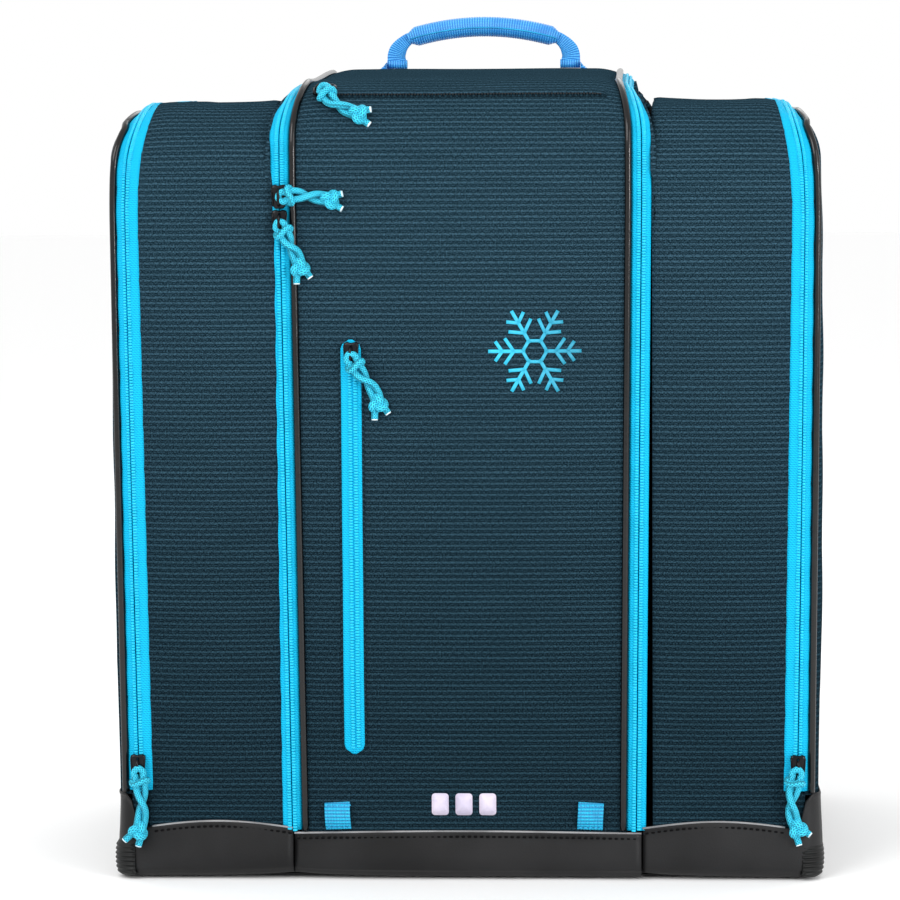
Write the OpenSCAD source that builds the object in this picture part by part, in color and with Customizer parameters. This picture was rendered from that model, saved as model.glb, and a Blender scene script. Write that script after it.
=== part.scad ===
// Ski boot bag: a backpack with a boot compartment on each side of a taller
// middle compartment. X runs across the bag, -Y is its front, Z is up.

/* [Bag] */
// Width across the two side panels
bag_w = 422; // [400:1:450]
// Depth from the front panels to the back panel
bag_d = 280; // [240:1:320]
// Height of the boot compartments
side_h = 462; // [445:1:480]
// Height of the middle compartment
mid_h = 480; // [475:1:510]
// Width of the middle compartment
mid_w = 220; // [216:1:226]
// Thickness of the padded fabric walls
wall = 3; // [2:0.5:4]
// Radius of the front top corner
front_r = 47; // [35:1:55]
// Radius of the back top corner
back_r = 12; // [10:1:20]
// Radius of the outer top corner
side_r = 35; // [25:1:45]

/* [Base] */
// Height of the coated base panels
base_h = 33; // [28:1:40]
// Height of the base at the outer sides, under the side panels
skirt_h = 50; // [45:1:58]
// Thickness of the stiffener board in the bottom
board_t = 2; // [1:0.5:3]

/* [Zips] */
// Width of each half of a zip tape
tape_w = 8; // [6:0.5:9]
// Width of each half of a coil
coil_w = 3.6; // [3:0.1:4.5]
// Diameter of the piping
piping_d = 4; // [3:0.5:5]
// Length of a slider
slider_l = 14; // [12:0.5:16]
// Width of a slider
slider_w = 9; // [8:0.5:11]
// Length of the pocket zip
pocket_l = 244; // [200:1:250]

/* [Handle and straps] */
// Span between the two ends of the haul handle
handle_span = 124; // [110:1:140]
// Diameter of the haul handle's grip
grip_d = 13; // [10:0.5:16]
// Height of the grip above the top panel
grip_rise = 27; // [24:1:32]
// Width of the shoulder pads
pad_w = 60; // [50:1:64]
// Thickness of the shoulder pads
pad_t = 10; // [8:0.5:12]
// Width of the strap webbing
webbing_w = 25; // [20:1:30]

/* [Hidden] */
$fn = 64;
front_proud = 7;
back_proud = 37;
front_y = -(front_proud + bag_d + back_proud) / 2 + front_proud;
back_y = front_y + bag_d;
half_w = bag_w / 2;
mid_half = mid_w / 2;
gap = 0.2;
tape_t = 1;
coil_t = 1.2;
zip_t = tape_t + coil_t;
floor_z = wall + board_t;

// Height and distance from the middle of each zip's centre line
mid_zip = [[0, 101], [400, 105], [mid_h + 5, 105]];
side_zip = [[0, 193], [400, 198], [side_h + 5, 187]];
// Where the middle zip crosses the top, and where the handle stands
cross_y = 90;
handle_y = 108;

// Places along the zips where the sliders rest
upper_slider_z = 404;
lower_slider_z = 388;
side_slider_z = 68;
pocket_x = -64;
pocket_top = 319;
pocket_slider_z = 311;
goggle_angle = 52;
goggle_half = 86;
goggle_slider_x = -80;

// Emblem, badge and webbing loops on the front panel
emblem_x = 43;
emblem_z = 312;
emblem_r = 27;
badge_z = 38;
loop_x = 74;
loop_z = 36;

// Shoulder straps: an arc between the top and bottom anchors
strap_top = [45, 440];
strap_low = [140, 60];
strap_bow = 24;
strap_off = 8;
pad_proud = 7;
strap_run = strap_low - strap_top;
strap_chord = norm(strap_run);
strap_lean = atan2(strap_run[0], -strap_run[1]);
strap_r = (pow(strap_chord / 2, 2) + pow(strap_bow, 2)) / (2 * strap_bow);
strap_half = asin(strap_chord / 2 / strap_r);
anchor_x = 150;

// Routes of the cord pulls, from the slider to the end of the tails
cord_d = 4;
upper_pull = [[-102, -162, 404], [-95, -162, 405], [-87, -161, 404],
    [-80, -160, 403], [-74, -160, 402], [-68, -159, 401]];
lower_pull = [[-104, -162, 385], [-101, -162, 379], [-98, -161, 373],
    [-95, -160, 367], [-93, -160, 360], [-91, -160, 353]];
pocket_route = [[-63, -162, 308], [-59, -162, 301], [-54, -161, 295],
    [-50, -160, 288], [-48, -159, 281], [-46, -158, 274]];
goggle_route = [[-76, -141, 475], [-74, -149, 468], [-70, -155, 460],
    [-65, -158, 453], [-58, -159, 449], [-51, -159, 445]];
left_route = [[-193, -162, 64], [-192, -162, 55], [-191, -161, 46],
    [-192, -160, 37], [-194, -160, 29], [-198, -160, 22]];
right_route = [[193, -162, 64], [191, -162, 55], [190, -161, 46],
    [191, -160, 38], [194, -160, 31], [198, -160, 25]];
// Half the distance between the two strands at each point of a route
spread = [2.4, 2.9, 2.6, 2.3, 3, 5];

fabric = [0.15, 0.27, 0.33];
coated = [0.2, 0.2, 0.21];
turquoise = [0.1, 0.77, 0.96];
handle_blue = [0.22, 0.6, 0.89];
black = [0.08, 0.08, 0.09];
pale = [0.77, 0.74, 0.81];

// Draws its children for the right side, or mirrored for the left side
module on_side(s) {
    mirror([s < 0 ? 1 : 0, 0, 0]) children();
}

// Keeps what lies between two opposite corners
module clip(lo, hi) {
    intersection() {
        children();
        translate(lo) cube(hi - lo);
    }
}

// The part of a square corner that lies outside a quarter circle
module corner_cut(r) {
    difference() {
        square(r + 20);
        circle(r);
    }
}

// Rectangle with four round corners, centred
module round_rect(w, h, r) {
    difference() {
        square([w, h], center = true);
        for (a = [0, 1], b = [0, 1])
            mirror([a, 0]) mirror([0, b]) translate([w / 2 - r, h / 2 - r]) corner_cut(r);
    }
}

// Side view of a compartment, in Y and Z, drawn i inside its outer face
module depth_outline(h, i) {
    difference() {
        translate([front_y + i, i]) square([bag_d - 2 * i, h - 2 * i]);
        translate([front_y + front_r, h - front_r]) mirror([1, 0]) corner_cut(front_r - i);
        translate([back_y - back_r, h - back_r]) corner_cut(back_r - i);
    }
}

// Front view of the right boot compartment, in X and Z
module side_outline(i) {
    difference() {
        translate([mid_half - 2, i]) square([half_w - i - mid_half + 2, side_h - 2 * i]);
        translate([half_w - side_r, side_h - side_r]) corner_cut(side_r - i);
    }
}

// Carries a Y-Z drawing from x0 to x1
module across(x0, x1) {
    translate([x0, 0, 0]) rotate([90, 0, 90]) linear_extrude(x1 - x0) children();
}

// Carries an X-Z drawing from y0 to y1
module along(y0, y1) {
    translate([0, y1, 0]) rotate([90, 0, 0]) linear_extrude(y1 - y0) children();
}

// Right boot compartment as a solid, i inside its outer face
module boot_pod(i) {
    intersection() {
        across(mid_half - 1, half_w + 10) depth_outline(side_h, i);
        along(front_y - 10, back_y + 10) side_outline(i);
    }
}

module boot_skin(outer, inner) {
    difference() {
        boot_pod(outer);
        boot_pod(inner);
    }
}

// Middle compartment's wall between two depths, whole width
module mid_skin(outer, inner) {
    across(-mid_half, mid_half) difference() {
        depth_outline(mid_h, outer);
        depth_outline(mid_h, inner);
    }
}

// Front view of the band from a to b beside a zip's centre line
module zip_band(line, a, b) {
    last = len(line) - 1;
    polygon(concat([for (p = line) [p[1] + a, p[0]]],
        [for (k = [last:-1:0]) [line[k][1] + b, line[k][0]]]));
}

// Front view of everything between the two middle zips
module between_zips(a) {
    right = [for (p = mid_zip) [p[1] + a, p[0]]];
    left = [for (k = [len(mid_zip) - 1:-1:0]) [-mid_zip[k][1] - a, mid_zip[k][0]]];
    polygon(concat(right, left));
}

// Bag walls
module back_panel() {
    color(black) along(back_y - wall, back_y) {
        translate([-mid_half, base_h]) square([mid_w, mid_h - back_r - base_h]);
        for (s = [-1, 1])
            intersection() {
                mirror([s < 0 ? 1 : 0, 0]) zip_band(side_zip, mid_half - 200, -gap);
                translate([s > 0 ? mid_half : -half_w, base_h])
                    square([half_w - mid_half, side_h - back_r - base_h]);
            }
    }
}

module back_pad(s) {
    color(black) on_side(s) translate([56, 0, 280])
        along(back_y, back_y + pad_proud) round_rect(78, 260, 16);
}

module lumbar_pad() {
    color(black) translate([0, 0, 100])
        along(back_y, back_y + pad_proud) round_rect(190, 70, 16);
}

module divider(s) {
    color(fabric) on_side(s) difference() {
        across(mid_half - wall, mid_half) depth_outline(mid_h, 0);
        translate([mid_half - wall - 1, back_y - wall, -1])
            cube([wall + 2, wall + 1, mid_h - back_r + 1]);
        translate([mid_half - wall - 1, cross_y, mid_h - back_r])
            cube([wall + 2, bag_d, back_r + 1]);
        translate([0, front_y - 1, -1]) cube([half_w, wall + 1, base_h + 1]);
        translate([0, front_y - 1, -1]) cube([half_w, bag_d + 2, floor_z + 1]);
    }
}

module boot_front(s) {
    color(fabric) on_side(s)
        clip([mid_half, front_y, base_h], [half_w, front_y + front_r, side_h])
            intersection() {
                boot_skin(0, wall);
                along(front_y, back_y) zip_band(side_zip, mid_half - 200, -gap);
            }
}

module boot_top(s) {
    color(fabric) on_side(s)
        clip([mid_half, front_y + front_r, side_h - back_r], [half_w, back_y, side_h])
            intersection() {
                boot_skin(0, wall);
                along(front_y, back_y) zip_band(side_zip, mid_half - 200, -gap);
            }
}

module rear_top_panel() {
    color(fabric)
        clip([-mid_half, cross_y + gap, mid_h - back_r], [mid_half, back_y, mid_h])
            mid_skin(0, wall);
}

// Base
module base_center() {
    color(coated)
        clip([-mid_half, front_y, wall], [mid_half, back_y, base_h])
            mid_skin(0, wall);
}

module base_side(s) {
    color(coated) on_side(s) {
        clip([mid_half, front_y, wall], [half_w, back_y, base_h]) boot_skin(0, wall);
        clip([mid_half, front_y, base_h], [half_w, back_y, skirt_h])
            intersection() {
                boot_skin(0, wall);
                along(front_y, back_y) zip_band(side_zip, 0, 50);
            }
    }
}

module base_binding() {
    color(pale) translate([-190, front_y - tape_t, base_h - 2]) cube([380, tape_t, 1.6]);
}

module bottom_panel() {
    color(coated) translate([-half_w, front_y, 0]) cube([bag_w, bag_d, wall]);
}

module bottom_board() {
    edge = wall + 2;
    color(black) translate([-half_w + edge, front_y + edge, wall])
        cube([bag_w - 2 * edge, bag_d - 2 * edge, board_t]);
}

module corner_guard(s) {
    guard_t = 2.5;
    guard_h = 22;
    rib_pitch = 4.4;
    color(black) on_side(s) difference() {
        translate([half_w - 8, front_y - guard_t, 1]) cube([8 + guard_t, 44, guard_h]);
        translate([half_w - 9, front_y, 0]) cube([9, 44, guard_h + 2]);
        for (k = [1:4])
            translate([half_w + guard_t - 1, front_y - guard_t - 1, k * rib_pitch])
                cube([2, 50, 1.6]);
    }
}

// Zips: every tape carries one row of the coil
module mid_zip_half(a0, a1, c0, c1, y1) {
    for (layer = [[-tape_t, 0, a0, a1], [-zip_t, -tape_t, c0, c1]])
        clip([-mid_half, front_y - 5, base_h + 4], [mid_half, y1, mid_h + 5])
            for (s = [-1, 1])
                intersection() {
                    mid_skin(layer[0], layer[1]);
                    on_side(s) along(front_y - 5, back_y) zip_band(mid_zip, layer[2], layer[3]);
                }
}

module center_zip_frame() {
    color(turquoise) {
        mid_zip_half(gap, tape_w, gap, coil_w, cross_y + tape_w);
        translate([-105, cross_y + gap, mid_h]) cube([210, tape_w - gap, tape_t]);
    }
}

module center_zip_panel() {
    color(turquoise) {
        mid_zip_half(-tape_w, -gap, -coil_w, -gap, cross_y - gap);
        translate([-97, cross_y - tape_w, mid_h]) cube([194, tape_w - gap, tape_t]);
    }
}

module side_zip_half(a0, a1, c0, c1) {
    for (layer = [[-tape_t, 0, a0, a1], [-zip_t, -tape_t, c0, c1]])
        clip([mid_half, front_y - 5, skirt_h + 4], [half_w, back_y + 5, side_h + 5])
            intersection() {
                boot_skin(layer[0], layer[1]);
                along(front_y - 5, back_y + 5) zip_band(side_zip, layer[2], layer[3]);
            }
}

module outer_zip_frame(s) {
    color(turquoise) on_side(s) side_zip_half(-tape_w, -gap, -coil_w, -gap);
}

module outer_zip_side(s) {
    color(turquoise) on_side(s) side_zip_half(gap, tape_w, gap, coil_w);
}

module panel_piping() {
    color(black)
        clip([-mid_half, front_y - 5, base_h + 4], [mid_half, cross_y - 10, mid_h + 5])
            for (s = [-1, 1])
                intersection() {
                    mid_skin(-piping_d / 2, 0);
                    on_side(s) along(front_y - 5, back_y)
                        zip_band(mid_zip, -tape_w - piping_d, -tape_w);
                }
}

module side_piping(s) {
    color(black) on_side(s)
        clip([mid_half, front_y - 5, skirt_h + 4], [half_w, back_y + 5, side_h + 5])
            intersection() {
                boot_skin(-piping_d / 2, 0);
                along(front_y - 5, back_y + 5) zip_band(side_zip, tape_w, tape_w + piping_d);
            }
}

// Panels that open
module front_panel() {
    color(fabric)
        clip([-mid_half, front_y, base_h + 2 * gap], [mid_half, front_y + front_r, mid_h])
            intersection() {
                mid_skin(0, wall);
                along(front_y, back_y) between_zips(-gap);
            }
}

module top_panel() {
    color(fabric)
        clip([-mid_half, front_y + front_r, mid_h - wall], [mid_half, cross_y - gap, mid_h])
            intersection() {
                mid_skin(0, wall);
                along(front_y, back_y) between_zips(-gap);
            }
}

module side_panel(s) {
    color(fabric) on_side(s)
        clip([mid_half, front_y, skirt_h + 2 * gap], [half_w, back_y, side_h])
            intersection() {
                boot_skin(0, wall);
                along(front_y, back_y) zip_band(side_zip, gap, 60);
            }
}

module pocket_zip() {
    color(turquoise) translate([pocket_x, 0, pocket_top - pocket_l / 2]) {
        along(front_y - tape_t, front_y) round_rect(12, pocket_l, 5.5);
        along(front_y - zip_t, front_y - tape_t) square([2 * coil_w, pocket_l - 10], center = true);
    }
}

// Turns its children about the front top corner so that -Y becomes the corner's face
module on_top_corner(angle) {
    translate([0, front_y + front_r, mid_h - front_r]) rotate([-angle, 0, 0]) children();
}

module goggle_zip() {
    color(fabric) on_top_corner(goggle_angle)
        difference() {
            across(-goggle_half, goggle_half) intersection() {
                circle(front_r + zip_t);
                translate([-front_r - 5, -6]) square([front_r, 12]);
            }
            across(-goggle_half - 1, goggle_half + 1) circle(front_r);
        }
}

// Six-armed snowflake
module emblem() {
    bar = 2;
    color(turquoise) translate([emblem_x, 0, emblem_z])
        along(front_y - 0.8, front_y)
            for (k = [0:5])
                rotate(60 * k) {
                    translate([0, -bar / 2]) square([emblem_r, bar]);
                    for (m = [-1, 1], r = [0.45, 0.7])
                        translate([emblem_r * r, 0]) rotate(55 * m)
                            translate([0, -bar / 2]) square([emblem_r * 0.28, bar]);
                }
}

module badge_bars() {
    color(pale) for (k = [-1:1])
        translate([14 * k, 0, badge_z + 7]) along(front_y - 0.8, front_y) round_rect(10, 13, 2);
}

module webbing_loops() {
    tab_w = 15;
    tab_h = 16;
    color(turquoise) for (s = [-1, 1])
        translate([s * loop_x - tab_w / 2, front_y, loop_z]) {
            translate([0, -3.5, 0]) cube([tab_w, 1.5, tab_h]);
            for (z = [0, tab_h - 3]) translate([0, -2, z]) cube([tab_w, 2, 3]);
        }
}

// Haul handle
module haul_grip() {
    color(handle_blue)
        translate([-45, handle_y, mid_h + grip_rise]) rotate([0, 90, 0]) cylinder(h = 90, d = grip_d);
}

module haul_webbing() {
    leg_w = 5;
    pivot_z = mid_h + 4;
    end_x = handle_span / 2;
    top = [45, mid_h + grip_rise];
    color(handle_blue) for (s = [-1, 1]) on_side(s) {
        translate([end_x - 6, handle_y, pivot_z]) rotate([0, 90, 0]) cylinder(h = 6, d = leg_w + 1);
        difference() {
            along(handle_y - leg_w / 2, handle_y + leg_w / 2)
                polygon([[end_x - 6, pivot_z], [end_x, pivot_z], [end_x, pivot_z + 4],
                    [top[0] + 6, top[1] + 4], [top[0], top[1] + 4], [top[0], top[1] - 5]]);
            translate([end_x - 7, handle_y, pivot_z]) rotate([0, 90, 0]) cylinder(h = 8, d = leg_w + 1);
        }
    }
}

module handle_anchors() {
    color(handle_blue) for (s = [-1, 1]) on_side(s)
        translate([handle_span / 2 + 0.5, handle_y - 9, mid_h]) cube([20, 16, 7]);
}

// Shoulder straps
module strap_frame(s) {
    on_side(s) translate([strap_top[0], back_y + strap_off, strap_top[1]])
        rotate([0, -strap_lean, 0]) mirror([0, 0, 1]) children();
}

// Band that follows the strap's arc from fraction f0 to f1 of its length
module strap_band(f0, f1, w, t, lift) {
    a0 = -strap_half + 2 * strap_half * f0;
    a1 = -strap_half + 2 * strap_half * f1;
    translate([-w / 2, strap_bow - strap_r, strap_chord / 2]) rotate([90, 0, 90])
        linear_extrude(w) intersection() {
            difference() {
                circle(strap_r + lift + t / 2, $fn = 360);
                circle(strap_r + lift - t / 2, $fn = 360);
            }
            polygon([[0, 0], 2 * strap_r * [cos(a0), sin(a0)], 2 * strap_r * [cos(a1), sin(a1)]]);
        }
}

module shoulder_pad(s) {
    color(black) strap_frame(s) strap_band(0.14, 0.72, pad_w, pad_t, 0);
}

module strap_webbing(s) {
    color(black) strap_frame(s) {
        strap_band(0.02, 0.14, webbing_w, 2.4, 0);
        strap_band(0.785, 0.97, webbing_w, 2.4, 0);
    }
}

module ladder_lock(s) {
    color(black) strap_frame(s) difference() {
        strap_band(0.72, 0.785, 32, 5, 0);
        strap_band(0.74, 0.765, 24, 7, 0);
    }
}

module strap_anchors() {
    color(black) {
        translate([-95, back_y, 434]) cube([190, 3, 14]);
        for (s = [-1, 1]) on_side(s) translate([anchor_x - 28, back_y, 42]) cube([40, 3, 12]);
    }
}

// Zip sliders, drawn with the slide direction along Z and the zip at Y = 0
module slider() {
    color(black) {
        along(-zip_t - 3.2, -zip_t - 2 * gap) round_rect(slider_w, slider_l, 3);
        difference() {
            translate([-2.2, -zip_t - 4.8, -4.5]) cube([4.4, 1.6, 9]);
            translate([-5, -zip_t - 4, -3]) cube([10, 0.8, 6]);
        }
    }
}

function zip_x(line, z) = line[0][1] + (line[1][1] - line[0][1]) * (z - line[0][0]) / (line[1][0] - line[0][0]);

module center_slider(z) {
    translate([-zip_x(mid_zip, z), front_y, z]) slider();
}

module outer_slider(s) {
    on_side(s) translate([zip_x(side_zip, side_slider_z), front_y, side_slider_z]) slider();
}

module pocket_slider() {
    translate([pocket_x, front_y, pocket_slider_z]) slider();
}

module goggle_slider() {
    on_top_corner(goggle_angle)
        translate([goggle_slider_x, -front_r, 0]) rotate([0, 90, 0]) slider();
}

// Cord pulls: two strands swept along one route
function unit(v) = v / norm(v);
function heading(p, i) = unit(p[min(i + 1, len(p) - 1)] - p[max(i - 1, 0)]);
function beside(p, i) = unit(cross(heading(p, i), [0, -1, 0]));
function strand(p, s) = [for (i = [0:len(p) - 1]) p[i] + s * spread[i] * beside(p, i)];

module tube(p, d) {
    sides = 8;
    n = len(p);
    rings = [for (i = [0:n - 1], k = [0:sides - 1])
        let (a = 360 * k / sides, u = beside(p, i), v = cross(u, heading(p, i)))
            p[i] + d / 2 * (cos(a) * u + sin(a) * v)];
    walls = [for (i = [0:n - 2], k = [0:sides - 1])
        [i * sides + k, i * sides + (k + 1) % sides,
            (i + 1) * sides + (k + 1) % sides, (i + 1) * sides + k]];
    caps = [[for (k = [sides - 1:-1:0]) k], [for (k = [0:sides - 1]) (n - 1) * sides + k]];
    polyhedron(rings, concat(walls, caps));
}

module pull(route) {
    color(turquoise) for (s = [-1, 1]) tube(strand(route, s), cord_d);
}

back_panel();
back_pad(-1);  // back_pad_left
back_pad(1);  // back_pad_right
lumbar_pad();
divider(-1);  // divider_left
divider(1);  // divider_right
boot_front(-1);  // boot_front_left
boot_front(1);  // boot_front_right
boot_top(-1);  // boot_top_left
boot_top(1);  // boot_top_right
rear_top_panel();
base_center();
base_side(-1);  // base_left
base_side(1);  // base_right
base_binding();
bottom_panel();
bottom_board();
corner_guard(-1);  // corner_guard_left
corner_guard(1);  // corner_guard_right
center_zip_frame();
outer_zip_frame(-1);  // outer_zip_frame_left
outer_zip_frame(1);  // outer_zip_frame_right
handle_anchors();
strap_anchors();
front_panel();
top_panel();
center_zip_panel();
panel_piping();
pocket_zip();
goggle_zip();
emblem();
badge_bars();
webbing_loops();
side_panel(-1);  // side_panel_left
side_panel(1);  // side_panel_right
outer_zip_side(-1);  // outer_zip_side_left
outer_zip_side(1);  // outer_zip_side_right
side_piping(-1);  // side_piping_left
side_piping(1);  // side_piping_right
haul_grip();
haul_webbing();
shoulder_pad(-1);  // shoulder_pad_left
shoulder_pad(1);  // shoulder_pad_right
strap_webbing(-1);  // strap_webbing_left
strap_webbing(1);  // strap_webbing_right
ladder_lock(-1);  // ladder_lock_left
ladder_lock(1);  // ladder_lock_right
center_slider(upper_slider_z);  // center_slider_upper
center_slider(lower_slider_z);  // center_slider_lower
outer_slider(-1);  // outer_slider_left
outer_slider(1);  // outer_slider_right
pocket_slider();
goggle_slider();
pull(upper_pull);  // center_pull_upper
pull(lower_pull);  // center_pull_lower
pull(left_route);  // outer_pull_left
pull(right_route);  // outer_pull_right
pull(pocket_route);  // pocket_pull
pull(goggle_route);  // goggle_pull
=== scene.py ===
"""Ski boot bag: the looks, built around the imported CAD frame. Lengths inside the script are millimetres."""
import math

import bmesh
import bpy
import numpy as np
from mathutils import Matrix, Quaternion, Vector


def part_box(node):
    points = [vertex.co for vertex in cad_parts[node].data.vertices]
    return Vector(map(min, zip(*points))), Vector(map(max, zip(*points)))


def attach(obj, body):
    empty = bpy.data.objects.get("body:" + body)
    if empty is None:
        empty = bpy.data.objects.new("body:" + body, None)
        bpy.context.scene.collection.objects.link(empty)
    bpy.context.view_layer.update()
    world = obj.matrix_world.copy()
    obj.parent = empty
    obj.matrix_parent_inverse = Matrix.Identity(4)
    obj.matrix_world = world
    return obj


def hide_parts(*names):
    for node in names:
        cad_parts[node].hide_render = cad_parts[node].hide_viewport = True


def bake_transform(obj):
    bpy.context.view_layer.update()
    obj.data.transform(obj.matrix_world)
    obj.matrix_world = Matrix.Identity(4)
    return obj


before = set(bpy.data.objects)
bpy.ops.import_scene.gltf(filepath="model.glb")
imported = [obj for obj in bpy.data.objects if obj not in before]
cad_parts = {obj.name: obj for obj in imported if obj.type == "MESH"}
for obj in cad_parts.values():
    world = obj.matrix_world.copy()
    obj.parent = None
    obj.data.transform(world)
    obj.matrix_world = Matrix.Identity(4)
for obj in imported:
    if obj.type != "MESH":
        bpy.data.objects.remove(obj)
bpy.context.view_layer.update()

MM = 0.001


def box_mm(node):
    low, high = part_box(node)
    return np.array(low) / MM, np.array(high) / MM


def middle_of(node):
    low, high = box_mm(node)
    return (low + high) / 2


# ---------------------------------------------------------------- sizes from the frame
FRONT_Y = box_mm("front_panel")[0][1]
BACK_Y = box_mm("back_panel")[1][1]
HALF_W = box_mm("side_panel_right")[1][0]
MID_H = box_mm("front_panel")[1][2]
SIDE_H = box_mm("boot_top_right")[1][2]
BASE_H = box_mm("base_center")[1][2]
SKIRT_H = box_mm("base_right")[1][2]
DEPTH = BACK_Y - FRONT_Y
CROSS_Y = box_mm("top_panel")[1][1]
TAPE_W = 8.0
MID_TAPE_W = 5.6
PIPING_R = 2.1
MID_HALF = 114.0
POD_IN = 109.0
BOOT_HALF = HALF_W - 4.5
SIDES = {"left": -1, "right": 1}


# ---------------------------------------------------------------- camera
EYE_BACK = 2000.0
EYE_HEIGHT = 430.0
EYE_RIGHT = 104.0
AIM = Vector((31.0, FRONT_Y, 254.0))
VIEW_WIDTH = 524.5
SHIFT_X = -0.076
ROLL = math.radians(0.28)


def add_camera():
    data = bpy.data.cameras.new("camera")
    camera = bpy.data.objects.new("camera", data)
    bpy.context.scene.collection.objects.link(camera)
    eye = Vector((EYE_RIGHT, FRONT_Y - EYE_BACK, EYE_HEIGHT))
    look = AIM - eye
    camera.location = eye * MM
    turn = look.to_track_quat("-Z", "Y") @ Quaternion((0, 0, 1), -ROLL)
    camera.rotation_euler = turn.to_euler()
    data.shift_x = SHIFT_X
    data.sensor_width = 36.0
    data.lens = data.sensor_width * look.length / VIEW_WIDTH
    data.clip_start = 0.05
    data.clip_end = 50.0
    bpy.context.scene.camera = camera


add_camera()


# ---------------------------------------------------------------- material nodes
class Graph:
    """A short way to write shader nodes; sockets and numbers both go in."""

    def __init__(self, name, roughness, **constants):
        self.material = bpy.data.materials.new(name)
        self.material.use_nodes = True
        self.nodes = self.material.node_tree.nodes
        self.links = self.material.node_tree.links
        self.shader = self.nodes["Principled BSDF"]
        self.shader.inputs["Roughness"].default_value = roughness
        for socket, value in constants.items():
            self.shader.inputs[socket.replace("_", " ")].default_value = value

    def plug(self, socket, value):
        if isinstance(value, bpy.types.NodeSocket):
            self.links.new(value, socket)
        elif isinstance(value, (tuple, list)) and len(value) == 3 and socket.type == "RGBA":
            socket.default_value = (*value, 1.0)
        else:
            socket.default_value = value

    def math(self, operation, *values):
        node = self.nodes.new("ShaderNodeMath")
        node.operation = operation
        for socket, value in zip(node.inputs, values):
            self.plug(socket, value)
        return node.outputs[0]

    def cloth(self, scale_u=1.0, scale_v=1.0):
        """The cloth's own coordinates in millimetres: across, along, and both as a vector."""
        node = self.nodes.new("ShaderNodeAttribute")
        node.attribute_name = "cloth"
        scaled = self.nodes.new("ShaderNodeVectorMath")
        scaled.operation = "MULTIPLY"
        self.links.new(node.outputs["Vector"], scaled.inputs[0])
        scaled.inputs[1].default_value = (scale_u, scale_v, 1.0)
        split = self.nodes.new("ShaderNodeSeparateXYZ")
        self.links.new(scaled.outputs[0], split.inputs[0])
        return split.outputs[0], split.outputs[1], scaled.outputs[0]

    def place(self):
        node = self.nodes.new("ShaderNodeTexCoord")
        return node.outputs["Object"]

    def noise(self, vector, scale, detail=3.0):
        node = self.nodes.new("ShaderNodeTexNoise")
        self.links.new(vector, node.inputs["Vector"])
        node.inputs["Scale"].default_value = scale
        node.inputs["Detail"].default_value = detail
        return node.outputs["Fac"]

    def wave(self, value, pitch):
        """A smooth wave from 0 to 1 along value."""
        turned = self.math("SINE", self.math("MULTIPLY", value, 2 * math.pi / pitch))
        return self.math("MULTIPLY_ADD", turned, 0.5, 0.5)

    def band(self, value, low, high):
        """0 below low, 1 above high, smooth between them."""
        node = self.nodes.new("ShaderNodeMapRange")
        node.interpolation_type = "SMOOTHSTEP"
        self.plug(node.inputs["Value"], value)
        node.inputs["From Min"].default_value = low
        node.inputs["From Max"].default_value = high
        return node.outputs[0]

    def mix(self, factor, first, second):
        node = self.nodes.new("ShaderNodeMix")
        node.data_type = "RGBA"
        self.plug(node.inputs[0], factor)
        self.plug(node.inputs[6], first)
        self.plug(node.inputs[7], second)
        return node.outputs[2]

    def color(self, value):
        self.plug(self.shader.inputs["Base Color"], value)

    def rough(self, value):
        self.plug(self.shader.inputs["Roughness"], value)

    def bump(self, height, distance, strength=1.0):
        """Bump of that height in millimetres."""
        node = self.nodes.new("ShaderNodeBump")
        node.inputs["Strength"].default_value = strength
        node.inputs["Distance"].default_value = distance * MM
        self.links.new(height, node.inputs["Height"])
        self.links.new(node.outputs[0], self.shader.inputs["Normal"])


def srgb(r, g, b):
    """Linear colour from 0-255 screen values."""
    return tuple((c / 255) ** 2.2 for c in (r, g, b))


def ripstop_material():
    g = Graph("petrol_ripstop", 0.7, Specular_IOR_Level=0.0)
    u, v, flat = g.cloth()
    streak = g.noise(g.cloth(0.02, 0.4)[2], 1.0, 2.0)
    rows = g.math("POWER", g.wave(v, 3.3), 5.0)
    fine = g.math("POWER", g.wave(v, 1.1), 2.0)
    speck = g.noise(g.cloth(1.1, 1.9)[2], 1.0, 2.0)
    grain = g.band(speck, 0.34, 0.66)
    light = g.math("ADD", g.math("MULTIPLY", rows, 0.46), g.math("MULTIPLY", fine, 0.2))
    light = g.math("MULTIPLY", light, g.math("MULTIPLY_ADD", g.band(streak, 0.3, 0.7), 0.3, 0.7))
    light = g.math("ADD", light, g.math("MULTIPLY_ADD", grain, 0.46, -0.06))
    cross_a = g.math("PINGPONG", g.math("ADD", u, v), 2.6)
    cross_b = g.math("PINGPONG", g.math("SUBTRACT", u, v), 2.6)
    grid = g.band(g.math("MINIMUM", cross_a, cross_b), 0.1, 0.75)
    # painted shade: both thread colours grow darker towards the bottom of the bag, from v 420 mm down to 60
    # mm
    lift = g.band(v, 60.0, 420.0)
    dark = g.mix(lift, srgb(18, 26, 31), srgb(22, 36, 43))
    bright = g.mix(lift, srgb(46, 70, 82), srgb(60, 87, 102))
    woven = g.mix(g.band(light, 0.0, 0.9), dark, bright)
    g.color(g.mix(g.math("MULTIPLY", g.math("SUBTRACT", 1.0, grid), 0.3), woven, srgb(4, 20, 28)))
    thread = g.math("ADD", g.math("MULTIPLY", rows, 0.5), g.math("ADD", grid, grain))
    g.rough(g.math("MULTIPLY_ADD", rows, 0.1, 0.55))
    g.bump(g.math("ADD", thread, g.math("MULTIPLY", g.noise(flat, 0.05), 3.0)), 0.12)
    return g.material


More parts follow.
